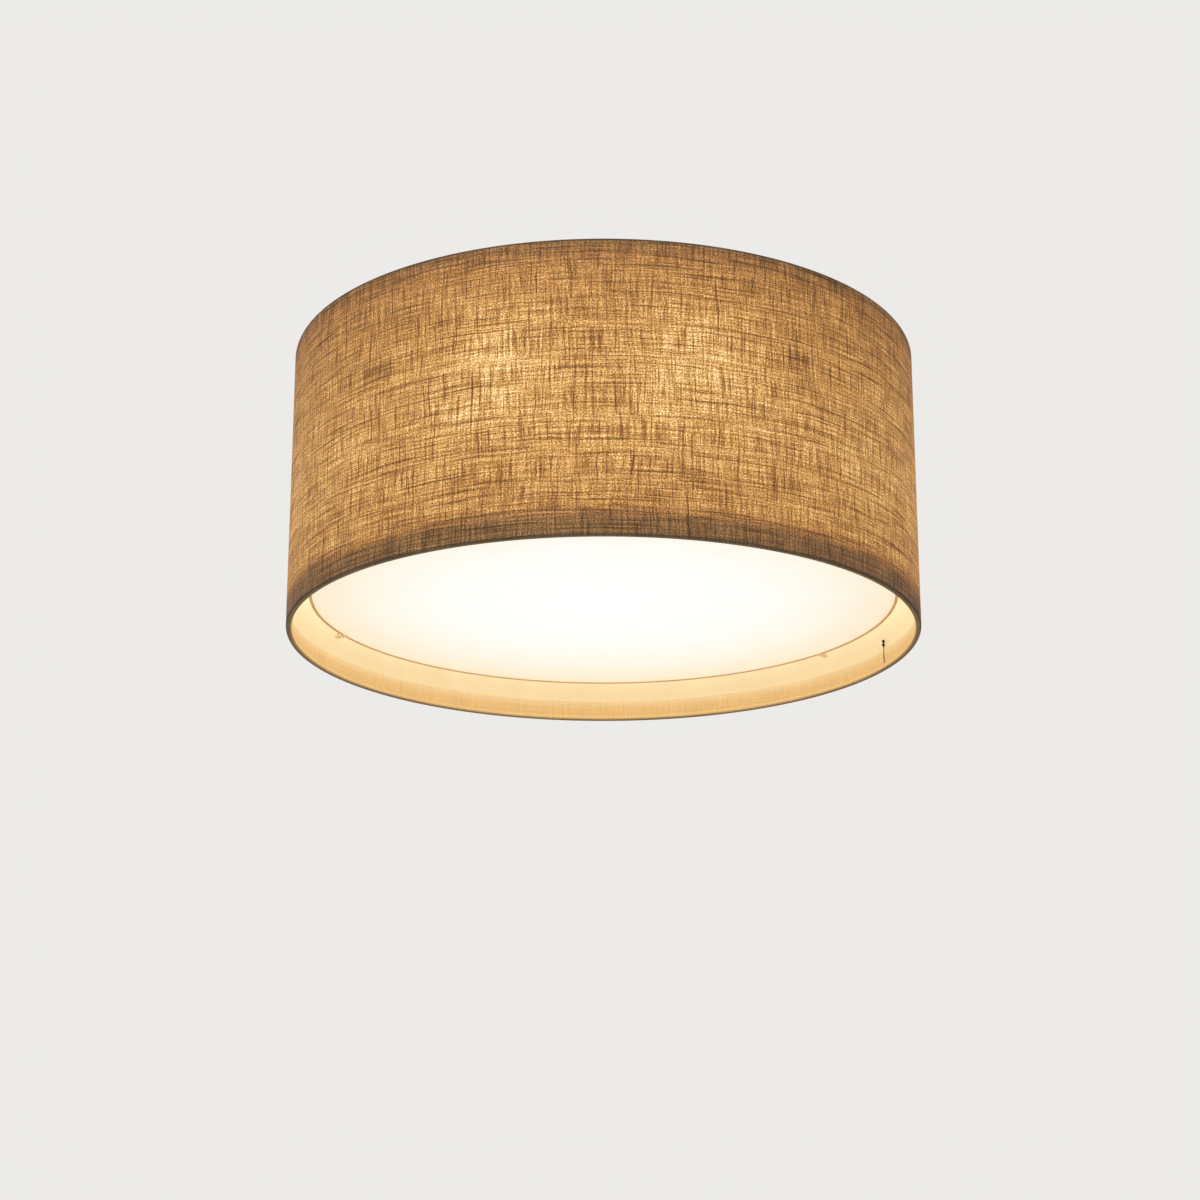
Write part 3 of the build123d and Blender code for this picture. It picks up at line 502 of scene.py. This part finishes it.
def hem_linen(name, rim, side):
    """The linen turned in over a rim: dark outside, where the rim colour paints shade, and lit on
    its inner side.
    """
    scene = bpy.context.scene
    sizes = scene.shade_sizes
    colours = scene.linen_colours
    recipe, cloth = woven(name, sizes.seam)
    where = recipe.place()
    z = recipe.split(where)[2]
    from_rim = recipe.calc("MULTIPLY", recipe.calc("SUBTRACT", z, rim), side / MM)
    full, none = sizes.radius - HEM_LIT_DEPTH, sizes.radius - HEM_UNLIT_DEPTH
    inside = recipe.between(recipe.from_axis(where), full, none, 1.0, 0.0)
    tall = sizes.hem_height / MM
    shades = [Vector(shade) for shade in (colours.lip, colours.hem, colours.hem_end)]
    stops = [
        (height / tall, sum((part * shade for part, shade in zip(parts, shades)), Vector()))
        for height, parts in HEM_LIGHT
    ]
    light = recipe.ramp(recipe.calc("DIVIDE", from_rim, tall), stops)
    recipe.glow(recipe.scaled(recipe.scaled(light, recipe.between(cloth, *HEM_GLOW_TONE)), inside))
    # Base colour: the rim colour, darker than the unlit cloth, is painted shade
    recipe.set(Base_Color=recipe.scaled(tuple(colours.rim), recipe.between(cloth, *HEM_TONE)))
    return recipe.material


# Light by height over the lower rim, as a share of the shade's height.
LINER_LIGHT = (
    (0.0, (0.60, 0.38, 0.13)),
    (0.08, (0.62, 0.43, 0.165)),
    (0.14, (0.63, 0.47, 0.22)),
    (0.5, (0.72, 0.60, 0.38)),
    (0.8, (0.55, 0.42, 0.24)),
    (1.0, (0.30, 0.20, 0.10)),
)
# Light by distance from the axis, as a share of the disc's radius.
OPAL_LIGHT = (
    (0.0, (0.75, 0.75, 0.76)),
    (0.55, (0.735, 0.72, 0.69)),
    (0.8, (0.715, 0.665, 0.56)),
    (1.0, (0.68, 0.55, 0.39)),
)
# Light from a globe's neck, 0, to its end, 1.
LAMP_LIGHT = (
    (0.0, (0.55, 0.36, 0.16)),
    (0.35, (0.85, 0.68, 0.42)),
    (0.7, (0.98, 0.88, 0.66)),
    (1.0, (0.90, 0.76, 0.52)),
)
LAMP_NECK = 60 * MM
LAMP_MILK = (0.62, 0.60, 0.55)
FINE_RELIEF_STRENGTH = 0.3


def lit_plastic(recipe, light, base, mottle, glow_swing, base_swing):
    """The same soft mottle in a surface's light and in its own colour."""
    recipe.glow(recipe.scaled(light, recipe.vary(mottle, glow_swing)))
    recipe.set(Base_Color=recipe.scaled(tuple(base), recipe.vary(mottle, base_swing)))


def fine_skin(recipe, where, gloss_grain, rough, relief_grain, depth):
    """Gloss that varies with a fine grain, and a very shallow relief.

    Grains are in waves per metre, and depth is in millimetres.
    """
    gloss = recipe.noise(where, gloss_grain)
    recipe.set(Roughness=recipe.between(gloss, NOISE_LOW, NOISE_HIGH, *rough))
    recipe.bump(recipe.noise(where, relief_grain), depth * MM, FINE_RELIEF_STRENGTH)


def liner_laminate():
    """The smooth liner, which takes the lamps' light."""
    sizes = bpy.context.scene.shade_sizes
    liner = bpy.context.scene.diffuser_look.liner
    recipe = Recipe("liner_laminate")
    where = recipe.place()
    up = recipe.between(recipe.split(where)[2], sizes.lower_rim, sizes.upper_rim)
    light = recipe.ramp(up, LINER_LIGHT)
    lit_plastic(recipe, light, liner, recipe.noise(where, 30.0, 3.0), 0.03, 0.03)
    fine_skin(recipe, where, 400.0, (0.42, 0.58), 900.0, 0.02)
    return recipe.material


def opal_sheet():
    """The opal sheet, brightest under the lamps."""
    recipe = Recipe("opal_sheet")
    where = recipe.place()
    out = recipe.calc("DIVIDE", recipe.from_axis(where), BINDING_HIGH.x)
    light = recipe.ramp(out, OPAL_LIGHT)
    panel = bpy.context.scene.diffuser_look.panel
    lit_plastic(recipe, light, panel, recipe.noise(where, 60.0, 3.0), 0.015, 0.02)
    fine_skin(recipe, where, 500.0, (0.34, 0.48), 700.0, 0.015)
    return recipe.material


def lamp_opal():
    """A lit opal globe, warmer towards its neck."""
    recipe = Recipe("lamp_opal", roughness=0.25, Coat_Weight=0.3)
    where = recipe.place()
    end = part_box("lamp_globe_1")[1].y
    light = recipe.ramp(recipe.between(recipe.from_axis(where), LAMP_NECK, end), LAMP_LIGHT)
    lit_plastic(recipe, light, LAMP_MILK, recipe.noise(where, 120.0), 0.03, 0.05)
    return recipe.material


# How many times broader the fittings' broad noise is than their grain, and how much the grain
# changes their roughness.
BROAD_TO_FINE = 12
GLOSS_GRAIN = 0.04
FITTING_RELIEF_STRENGTH = 0.5


def finish(name, base, metallic, rough, grain, variation, relief, stretch=(1, 1, 1), glow=None):
    """A fitting's finish, with soft changes of colour and gloss, and a fine relief.

    grain is in waves per metre, and relief is the depth in millimetres.
    """
    recipe = Recipe(name, metallic)
    parts = recipe.split(recipe.place())
    where = recipe.join(*(recipe.calc("MULTIPLY", part, k) for part, k in zip(parts, stretch)))
    broad = recipe.noise(where, grain / BROAD_TO_FINE, 3.0)
    fine = recipe.noise(where, grain)
    tone = recipe.calc("MULTIPLY", recipe.vary(broad, variation), recipe.vary(fine, variation / 2))
    recipe.set(Base_Color=recipe.scaled(tuple(base), tone))
    if glow:
        recipe.glow(recipe.scaled(tuple(glow), tone))
    gloss = recipe.calc(
        "ADD", recipe.between(broad, NOISE_LOW, NOISE_HIGH, *rough),
        recipe.between(fine, NOISE_LOW, NOISE_HIGH, -GLOSS_GRAIN, GLOSS_GRAIN), clamp=True,
    )
    recipe.set(Roughness=gloss)
    recipe.bump(fine, relief * MM, FITTING_RELIEF_STRENGTH)
    return recipe.material


def dress(names, material):
    """Gives CAD nodes a finish."""
    for name in names:
        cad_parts[name].material_slots[0].material = material


def numbered(*stems):
    """The names of pieces that come in threes."""
    return [f"{stem}_{i}" for stem in stems for i in (1, 2, 3)]


# The fittings' finishes: the setting that holds the colour, how metallic it is, its roughness from
# and to, its grain in waves per metre, how much its colour varies, its relief in millimetres, and
# the nodes that have it.
RING_FINISHES = {
    "ring_steel": ("wire", 1.0, (0.32, 0.5), 1200, 0.12, 0.01, ["top_ring", "bottom_ring"]),
}
LAMP_FINISHES = {
    "cap_nickel": ("nickel", 1.0, (0.18, 0.34), 800, 0.08, 0.01, numbered("lamp_cap")),
    "contact_brass": (
        "brass", 1.0, (0.25, 0.42), 700, 0.14, 0.01, numbered("holder_sleeve", "holder_contact")
    ),
    "moulded_shell": ("holder", 0.0, (0.28, 0.4), 500, 0.03, 0.01, numbered("lampholder")),
    "collar_plastic": ("collar", 0.0, (0.25, 0.38), 500, 0.03, 0.01, numbered("lamp_collar")),
}
BASE_FINISHES = {
    "powder_coat": (
        "powder_coat", 0.0, (0.4, 0.55), 700, 0.03, 0.05,
        ["carrier_frame", "ceiling_pan", "lampholder_bracket"],
    ),
    "zinc_plate": (
        "zinc", 1.0, (0.28, 0.44), 900, 0.10, 0.01,
        ["arm_bushes", "pan_studs", "terminal_screws", "centre_tube", "tube_nuts",
         "holder_nipples", "nipple_nuts"],
    ),
    "knurled_nickel": (
        "nickel", 1.0, (0.16, 0.32), 900, 0.08, 0.01, ["cap_nuts", *numbered("thumbscrew")]
    ),
    "earth_brass": ("brass", 1.0, (0.25, 0.42), 900, 0.14, 0.01, ["earth_screw"]),
    "polyamide": ("terminal", 0.0, (0.42, 0.55), 600, 0.04, 0.02, ["terminal_block"]),
    "soft_rubber": ("rubber", 0.0, (0.6, 0.8), 1400, 0.2, 0.04, ["cable_grommet"]),
    "brown_insulation": ("live", 0.0, (0.35, 0.5), 1100, 0.1, 0.02, ["live_leads"]),
    "blue_insulation": ("neutral", 0.0, (0.35, 0.5), 1100, 0.1, 0.02, ["neutral_leads"]),
}


def dress_fittings(finishes):
    """Gives CAD nodes the fittings' finishes."""
    for name, (setting, *look, nodes) in finishes.items():
        dress(nodes, finish(name, getattr(bpy.context.scene.fitting_colours, setting), *look))


# ---- modelling ----


MERGE_DISTANCE = 0.002 * MM


def only(piece):
    """Makes a piece the only one that is selected, and active."""
    bpy.ops.object.select_all(action="DESELECT")
    piece.select_set(True)
    bpy.context.view_layer.objects.active = piece


def pick_edges(test):
    """Selects the edges in edit mode whose direction passes a test."""
    bpy.ops.mesh.select_mode(type="EDGE")
    bpy.ops.mesh.select_all(action="DESELECT")
    mesh = bmesh.from_edit_mesh(bpy.context.object.data)
    for edge in mesh.edges:
        start, end = (v.co for v in edge.verts)
        edge.select_set(test((end - start).normalized()))
    bmesh.update_edit_mesh(bpy.context.object.data)


def extrude_by(step):
    """Extrudes what is selected by a step."""
    bpy.ops.mesh.extrude_region_move(TRANSFORM_OT_translate={"value": tuple(step)})


def trace(name, outline):
    """A line of points, each extruded from the last, left in edit mode."""
    bpy.ops.object.select_all(action="DESELECT")
    bpy.ops.mesh.primitive_plane_add(size=1.0, location=(0, 0, 0))
    piece = bpy.context.object
    piece.name = name
    piece.data.name = name
    bpy.ops.object.mode_set(mode="EDIT")
    bpy.ops.mesh.select_mode(type="VERT")
    bpy.ops.mesh.select_all(action="SELECT")
    bpy.ops.mesh.merge(type="CENTER")
    bpy.ops.transform.translate(value=tuple(outline[0]))
    for last, point in zip(outline, outline[1:]):
        extrude_by(point - last)
    return piece


def turn_round(angle, steps, outward):
    """Spins what is drawn about Z.

    outward holds how a face is ranked by its middle, and which way the highest one has to look.
    """
    bpy.ops.mesh.select_all(action="SELECT")
    bpy.ops.mesh.remove_doubles(threshold=MERGE_DISTANCE)
    bpy.ops.mesh.spin(steps=steps, angle=angle, center=(0, 0, 0), axis=(0, 0, 1))
    bpy.ops.mesh.select_all(action="SELECT")
    bpy.ops.mesh.remove_doubles(threshold=MERGE_DISTANCE)
    bpy.ops.mesh.normals_make_consistent(inside=False)
    bpy.ops.object.mode_set(mode="OBJECT")
    key, way = outward
    face = max(bpy.context.object.data.polygons, key=lambda f: key(f.center))
    if face.normal.dot(way(face.center)) < 0:
        bpy.ops.object.mode_set(mode="EDIT")
        bpy.ops.mesh.select_all(action="SELECT")
        bpy.ops.mesh.flip_normals()
        bpy.ops.object.mode_set(mode="OBJECT")


def use_modifier(piece, kind, **settings):
    """Adds a modifier and applies it."""
    only(piece)
    modifier = piece.modifiers.new(kind.lower(), kind)
    for label, value in settings.items():
        setattr(modifier, label, value)
    bpy.ops.object.modifier_apply(modifier=modifier.name)


def thicken(piece, wall):
    """Gives a sheet its thickness, inwards."""
    use_modifier(piece, "SOLIDIFY", thickness=wall, offset=-1.0, use_even_offset=True)


def settle(piece, body, material, stands_for=(), angle=math.radians(35)):
    """Puts a finished piece's place in its mesh, and gives it its finish, body and slot."""
    only(piece)
    bpy.ops.object.transform_apply(location=True, rotation=True, scale=True)
    bpy.ops.object.shade_smooth_by_angle(angle=angle)
    piece.data.materials.clear()
    piece.data.materials.append(material)
    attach(piece, body)
    if stands_for:
        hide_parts(*stands_for)


# ---- the pieces ----


# The rolled hems: degrees round the ring wire, and steps up the leg inside the wall.
ROLL_STEP = 10
ROLL_END = 280
LEG_STEPS = 5


def hem_outline(sizes, rim, side):
    """A hem's outer face, from the drum's face round its ring wire and along the inner wall."""
    centre = Vector((sizes.radius - sizes.roll, 0, rim + side * sizes.roll))
    outline = []
    for degrees in range(0, ROLL_END + 1, ROLL_STEP):
        a = -side * math.radians(degrees)
        outline.append(centre + sizes.roll * Vector((math.cos(a), 0, math.sin(a))))
    start = outline[-1].copy()
    start.x = sizes.radius - sizes.hem_depth
    outline[-1] = start
    end = Vector((start.x, 0, rim + side * sizes.hem_height))
    outline += [start.lerp(end, i / LEG_STEPS) for i in range(1, LEG_STEPS + 1)]
    return outline


class CEILINGLIGHT_OT_rolled_hems(bpy.types.Operator):
    """Make the linen turned in over the two ring wires"""

    bl_idname = "ceiling_light.rolled_hems"
    bl_label = "Rolled Hems"

    def execute(self, context):
        sizes = context.scene.shade_sizes
        for name, node, rim, side in (
            ("lower_hem", "bottom_hem", sizes.lower_rim, 1),
            ("upper_hem", "top_hem", sizes.upper_rim, -1),
        ):
            piece = trace(name, hem_outline(sizes, rim, side))
            outward = (lambda c: -side * c.z, lambda c: Vector((0, 0, -side)))
            turn_round(math.tau, sizes.facets, outward)
            thicken(piece, sizes.linen)
            cloth = hem_linen(name + "_linen", rim, side)
            settle(piece, "shade", cloth, [node])
        return {"FINISHED"}


LAP_STEPS = 8
LAP_EDGE = 0.12 * MM
LAP_EDGE_SEGMENTS = 2


class CEILINGLIGHT_OT_seam_lap(bpy.types.Operator):
    """Make the lap of the linen over its own end"""

    bl_idname = "ceiling_light.seam_lap"
    bl_label = "Seam Lap"

    def execute(self, context):
        sizes = context.scene.shade_sizes
        radius = sizes.radius + sizes.lap_gap + sizes.lap_thickness
        low, high = sizes.lower_rim + sizes.roll, sizes.upper_rim - sizes.roll
        half = sizes.lap_width / sizes.radius / 2
        start = sizes.seam - half
        foot = radius * Vector((math.cos(start), math.sin(start), 0))
        heights = [low + (high - low) * i / sizes.rows for i in range(sizes.rows + 1)]
        piece = trace("seam_lap_linen", [foot + Vector((0, 0, height)) for height in heights])
        turn_round(2 * half, LAP_STEPS, (lambda c: c.z, lambda c: Vector((c.x, c.y, 0))))
        thicken(piece, sizes.lap_thickness)
        use_modifier(
            piece, "BEVEL", width=LAP_EDGE, segments=LAP_EDGE_SEGMENTS, limit_method="ANGLE",
            angle_limit=math.radians(50),
        )
        settle(piece, "shade", linen("lap_linen", sizes.seam + math.pi), ["seam_lap"])
        return {"FINISHED"}


class CEILINGLIGHT_OT_linen_cover(bpy.types.Operator):
    """Make the linen drum between the two ring wires"""

    bl_idname = "ceiling_light.linen_cover"
    bl_label = "Linen Cover"

    def execute(self, context):
        sizes = context.scene.shade_sizes
        low, high = sizes.lower_rim + sizes.roll, sizes.upper_rim - sizes.roll
        bpy.ops.object.select_all(action="DESELECT")
        bpy.ops.mesh.primitive_cylinder_add(
            vertices=sizes.facets, radius=sizes.radius, depth=high - low,
            end_fill_type="NOTHING", location=(0, 0, (low + high) / 2),
        )
        piece = context.object
        piece.name = piece.data.name = "linen_cover"
        bpy.ops.object.mode_set(mode="EDIT")
        pick_edges(lambda way: abs(way.z) > 0.9)
        bpy.ops.mesh.subdivide(number_cuts=sizes.rows)
        bpy.ops.mesh.select_all(action="SELECT")
        bpy.ops.mesh.normals_make_consistent(inside=False)
        bpy.ops.object.mode_set(mode="OBJECT")
        thicken(piece, sizes.linen)
        settle(piece, "shade", linen("drum_linen", sizes.seam), ["shade_cover"])
        return {"FINISHED"}


# The finish of the binding, the wires and the thread: how metallic it is, its roughness from and
# to, its grain in waves per metre, how much its colour varies, and its relief in millimetres.
BINDING_FINISH = (0.0, (0.45, 0.6), 900, 0.12, 0.03)
WIRE_COAT_FINISH = (0.0, (0.4, 0.55), 1500, 0.05, 0.01)
THREAD_FINISH = (0.0, (0.8, 0.95), 2500, 0.3, 0.1)
# How much of the binding's rounding its middle corner cuts off.
CORNER_SHARE = 0.3


def binding_outline(look):
    """The U-shaped binding's section, with rounded corners, closed on itself."""
    out, low, high = BINDING_HIGH.x, BINDING_LOW.z, BINDING_HIGH.z
    end = out - look.binding_width
    wall, round_off = look.binding_wall, look.binding_round
    bevel = CORNER_SHARE * round_off
    lip = wall / 3
    half = [
        (end, low + wall - lip), (end, low + lip), (end + lip, low), (out - round_off, low),
        (out - bevel, low + bevel), (out, low + round_off),
    ]
    other = [(x, low + high - z) for x, z in reversed(half)]
    groove = [
        (end + lip, high - wall), (out - wall, high - wall),
        (out - wall, low + wall), (end + lip, low + wall),
    ]
    loop = half + other + groove
    return [Vector((x, 0, z)) for x, z in [*loop, loop[0]]]


class CEILINGLIGHT_OT_diffuser(bpy.types.Operator):
    """Make the opal disc's binding, and finish the disc and its hangers"""

    bl_idname = "ceiling_light.diffuser"
    bl_label = "Diffuser"

    def execute(self, context):
        look = context.scene.diffuser_look
        dress(["diffuser_panel"], opal_sheet())
        piece = trace("edge_binding", binding_outline(look))
        facets = context.scene.shade_sizes.facets
        turn_round(math.tau, facets, (lambda c: -c.z, lambda c: Vector((0, 0, -1))))
        tape = finish("edge_tape", look.binding, *BINDING_FINISH, glow=look.binding_glow)
        settle(piece, "diffuser", tape, ["diffuser_binding"])
        coat = finish("cream_coat", look.hanger, *WIRE_COAT_FINISH, (1, 1, 0.1), look.hanger_glow)
        dress(numbered("diffuser_hanger", "hanger_foot"), coat)
        return {"FINISHED"}


class CEILINGLIGHT_OT_liner_and_rings(bpy.types.Operator):
    """Finish the shade's liner and ring wires"""

    bl_idname = "ceiling_light.liner_and_rings"
    bl_label = "Liner and Rings"

    def execute(self, context):
        dress(["shade_liner"], liner_laminate())
        dress_fittings(RING_FINISHES)
        return {"FINISHED"}


# The loose thread, in millimetres: the height of its upper end over the rim, how far it stands off
# the hem, its radius there, and then, going down it, steps down and sideways, each with a radius.
THREAD_TOP = 25.8
THREAD_STAND_OFF = 1.3
THREAD_RADIUS = 0.28
THREAD_STEPS = (
    (0.5, 0.1, 0.9), (0.8, 0.3, 1.5), (0.8, -0.1, 1.2), (0.7, -0.5, 0.5),
    (0.6, 0.2, 0.7), (0.8, 0.5, 1.5), (0.8, 0.0, 1.3), (0.9, -0.5, 0.6),
    (1.2, -0.3, 0.38), (2.0, 0.1, 0.34), (2.2, 0.3, 0.36), (2.4, 0.2, 0.40),
    (2.2, -0.2, 0.44), (2.0, -0.3, 0.40), (1.8, -0.1, 0.34), (1.0, 0.3, 0.20),
)
THREAD_SIDES = 10


class CEILINGLIGHT_OT_loose_thread(bpy.types.Operator):
    """Make the knotted end of thread at the seam, on the liner"""

    bl_idname = "ceiling_light.loose_thread"
    bl_label = "Loose Thread"

    def execute(self, context):
        sizes = context.scene.shade_sizes
        seam = sizes.seam
        outward = Vector((math.cos(seam), math.sin(seam), 0))
        sideways = Vector((-math.sin(seam), math.cos(seam), 0))
        wall = sizes.radius - sizes.hem_depth
        top = Vector((0, 0, sizes.lower_rim + THREAD_TOP * MM))
        start = outward * (wall - THREAD_STAND_OFF * MM) + top
        bpy.ops.object.select_all(action="DESELECT")
        bpy.ops.mesh.primitive_circle_add(
            vertices=THREAD_SIDES, radius=THREAD_RADIUS * MM, fill_type="NGON", location=start
        )
        piece = context.object
        piece.name = piece.data.name = "loose_thread"
        bpy.ops.object.transform_apply(location=True)
        bpy.ops.object.mode_set(mode="EDIT")
        bpy.ops.mesh.select_all(action="SELECT")
        here = start.copy()
        thick = THREAD_RADIUS
        for down, side, radius in THREAD_STEPS:
            step = sideways * side * MM - Vector((0, 0, down * MM))
            extrude_by(step)
            here += step
            grown = radius / thick
            bpy.ops.transform.resize(value=(grown, grown, 1.0), center_override=here)
            thick = radius
        bpy.ops.mesh.select_all(action="SELECT")
        bpy.ops.mesh.remove_doubles(threshold=MERGE_DISTANCE)
        bpy.ops.mesh.normals_make_consistent(inside=False)
        bpy.ops.object.mode_set(mode="OBJECT")
        use_modifier(piece, "SUBSURF", levels=1, render_levels=1)
        yarn = finish("yarn", context.scene.linen_colours.thread, *THREAD_FINISH, (1, 1, 0.4))
        settle(piece, "shade", yarn, angle=math.radians(80))
        return {"FINISHED"}


class CEILINGLIGHT_OT_lamps(bpy.types.Operator):
    """Finish the three lamps and their holders"""

    bl_idname = "ceiling_light.lamps"
    bl_label = "Lamps"

    def execute(self, context):
        dress_fittings(LAMP_FINISHES)
        dress(numbered("lamp_globe"), lamp_opal())
        return {"FINISHED"}


class CEILINGLIGHT_OT_fittings(bpy.types.Operator):
    """Finish the carrier frame, pan, bracket, wiring and screws"""

    bl_idname = "ceiling_light.fittings"
    bl_label = "Fittings"

    def execute(self, context):
        dress_fittings(BASE_FINISHES)
        return {"FINISHED"}


SENSOR_WIDTH = 36.0
CLIP_START, CLIP_END = 0.05, 100.0


class CEILINGLIGHT_OT_studio(bpy.types.Operator):
    """Set up the floor, soft light and camera"""

    bl_idname = "ceiling_light.studio"
    bl_label = "Studio"

    def execute(self, context):
        scene = context.scene
        settings = scene.studio_settings
        self.floor(settings)
        self.world(scene, settings)
        light = bpy.data.lights.new("key_light", "AREA")
        light.energy = settings.key_power
        light.size = settings.key_size
        light.color = settings.key_colour
        key = bpy.data.objects.new("key_light", light)
        scene.collection.objects.link(key)
        key.location = settings.key_place
        aim = Vector(settings.key_target) - key.location
        key.rotation_euler = aim.to_track_quat("-Z", "Y").to_euler()
        camera = bpy.data.objects.new("camera", bpy.data.cameras.new("camera"))
        scene.collection.objects.link(camera)
        camera.location = settings.camera_place
        camera.rotation_euler = (settings.camera_tilt, 0.0, 0.0)
        camera.data.sensor_width = SENSOR_WIDTH
        camera.data.lens = settings.lens
        camera.data.clip_start = CLIP_START
        camera.data.clip_end = CLIP_END
        scene.camera = camera
        scene.view_settings.view_transform = "Standard"
        return {"FINISHED"}

    def floor(self, settings):
        """The pale studio floor, far below the light."""
        bpy.ops.object.select_all(action="DESELECT")
        bpy.ops.mesh.primitive_plane_add(
            size=settings.floor_size, location=(0, 0, settings.floor_height)
        )
        floor = bpy.context.object
        floor.name = floor.data.name = "studio_floor"
        bpy.ops.object.transform_apply(location=True)
        recipe = Recipe("pale_floor", roughness=0.8)
        tone = recipe.vary(recipe.noise(recipe.place(), 1.5, 3.0), 0.01)
        recipe.set(Base_Color=recipe.scaled(tuple(settings.floor), tone))
        recipe.set(Emission_Color=tuple(settings.floor))
        shown = shown_rays(recipe.nodes, recipe.links)
        recipe.set(Emission_Strength=recipe.calc("MULTIPLY", shown, settings.floor_lift))
        floor.data.materials.append(recipe.material)

    def world(self, scene, settings):
        """Soft light from all round, with a pale backdrop where it is seen."""
        world = bpy.data.worlds.new("studio")
        scene.world = world
        world.use_nodes = True
        nodes, links = world.node_tree.nodes, world.node_tree.links
        background = nodes["Background"]
        mix = nodes.new("ShaderNodeMix")
        mix.data_type = "RGBA"
        links.new(shown_rays(nodes, links), mix.inputs[0])
        mix.inputs[6].default_value = (*settings.ambient, 1.0)
        mix.inputs[7].default_value = (*settings.backdrop, 1.0)
        links.new(mix.outputs[2], background.inputs["Color"])
        background.inputs["Strength"].default_value = 1.0


# ---- the add-on ----


OPERATORS = (
    CEILINGLIGHT_OT_studio,
    CEILINGLIGHT_OT_rolled_hems,
    CEILINGLIGHT_OT_seam_lap,
    CEILINGLIGHT_OT_linen_cover,
    CEILINGLIGHT_OT_liner_and_rings,
    CEILINGLIGHT_OT_diffuser,
    CEILINGLIGHT_OT_loose_thread,
    CEILINGLIGHT_OT_lamps,
    CEILINGLIGHT_OT_fittings,
)
GROUPS = {
    "shade_sizes": ShadeSizes,
    "linen_colours": LinenColours,
    "diffuser_look": DiffuserLook,
    "fitting_colours": FittingColours,
    "studio_settings": StudioSettings,
}


class CEILINGLIGHT_PT_pieces(bpy.types.Panel):
    """The pieces of the ceiling light and their settings"""

    bl_idname = "CEILINGLIGHT_PT_pieces"
    bl_label = "Ceiling Light"
    bl_space_type = "VIEW_3D"
    bl_region_type = "UI"
    bl_category = "Ceiling Light"

    def draw(self, context):
        for operator in OPERATORS:
            self.layout.operator(operator.bl_idname)
        for label, group in GROUPS.items():
            box = self.layout.box()
            box.label(text=group.__doc__)
            for setting in group.__annotations__:
                box.prop(getattr(context.scene, label), setting)


CLASSES = (*GROUPS.values(), *OPERATORS, CEILINGLIGHT_PT_pieces)


def register():
    for item in CLASSES:
        bpy.utils.register_class(item)
    for label, group in GROUPS.items():
        setattr(bpy.types.Scene, label, bpy.props.PointerProperty(type=group))


def unregister():
    for label in GROUPS:
        delattr(bpy.types.Scene, label)
    for item in reversed(CLASSES):
        bpy.utils.unregister_class(item)


def main():
    register()
    bpy.ops.ceiling_light.studio()
    bpy.ops.ceiling_light.rolled_hems()
    bpy.ops.ceiling_light.seam_lap()
    bpy.ops.ceiling_light.linen_cover()
    bpy.ops.ceiling_light.liner_and_rings()
    bpy.ops.ceiling_light.diffuser()
    bpy.ops.ceiling_light.loose_thread()
    bpy.ops.ceiling_light.lamps()
    bpy.ops.ceiling_light.fittings()


if __name__ == "__main__":
    main()
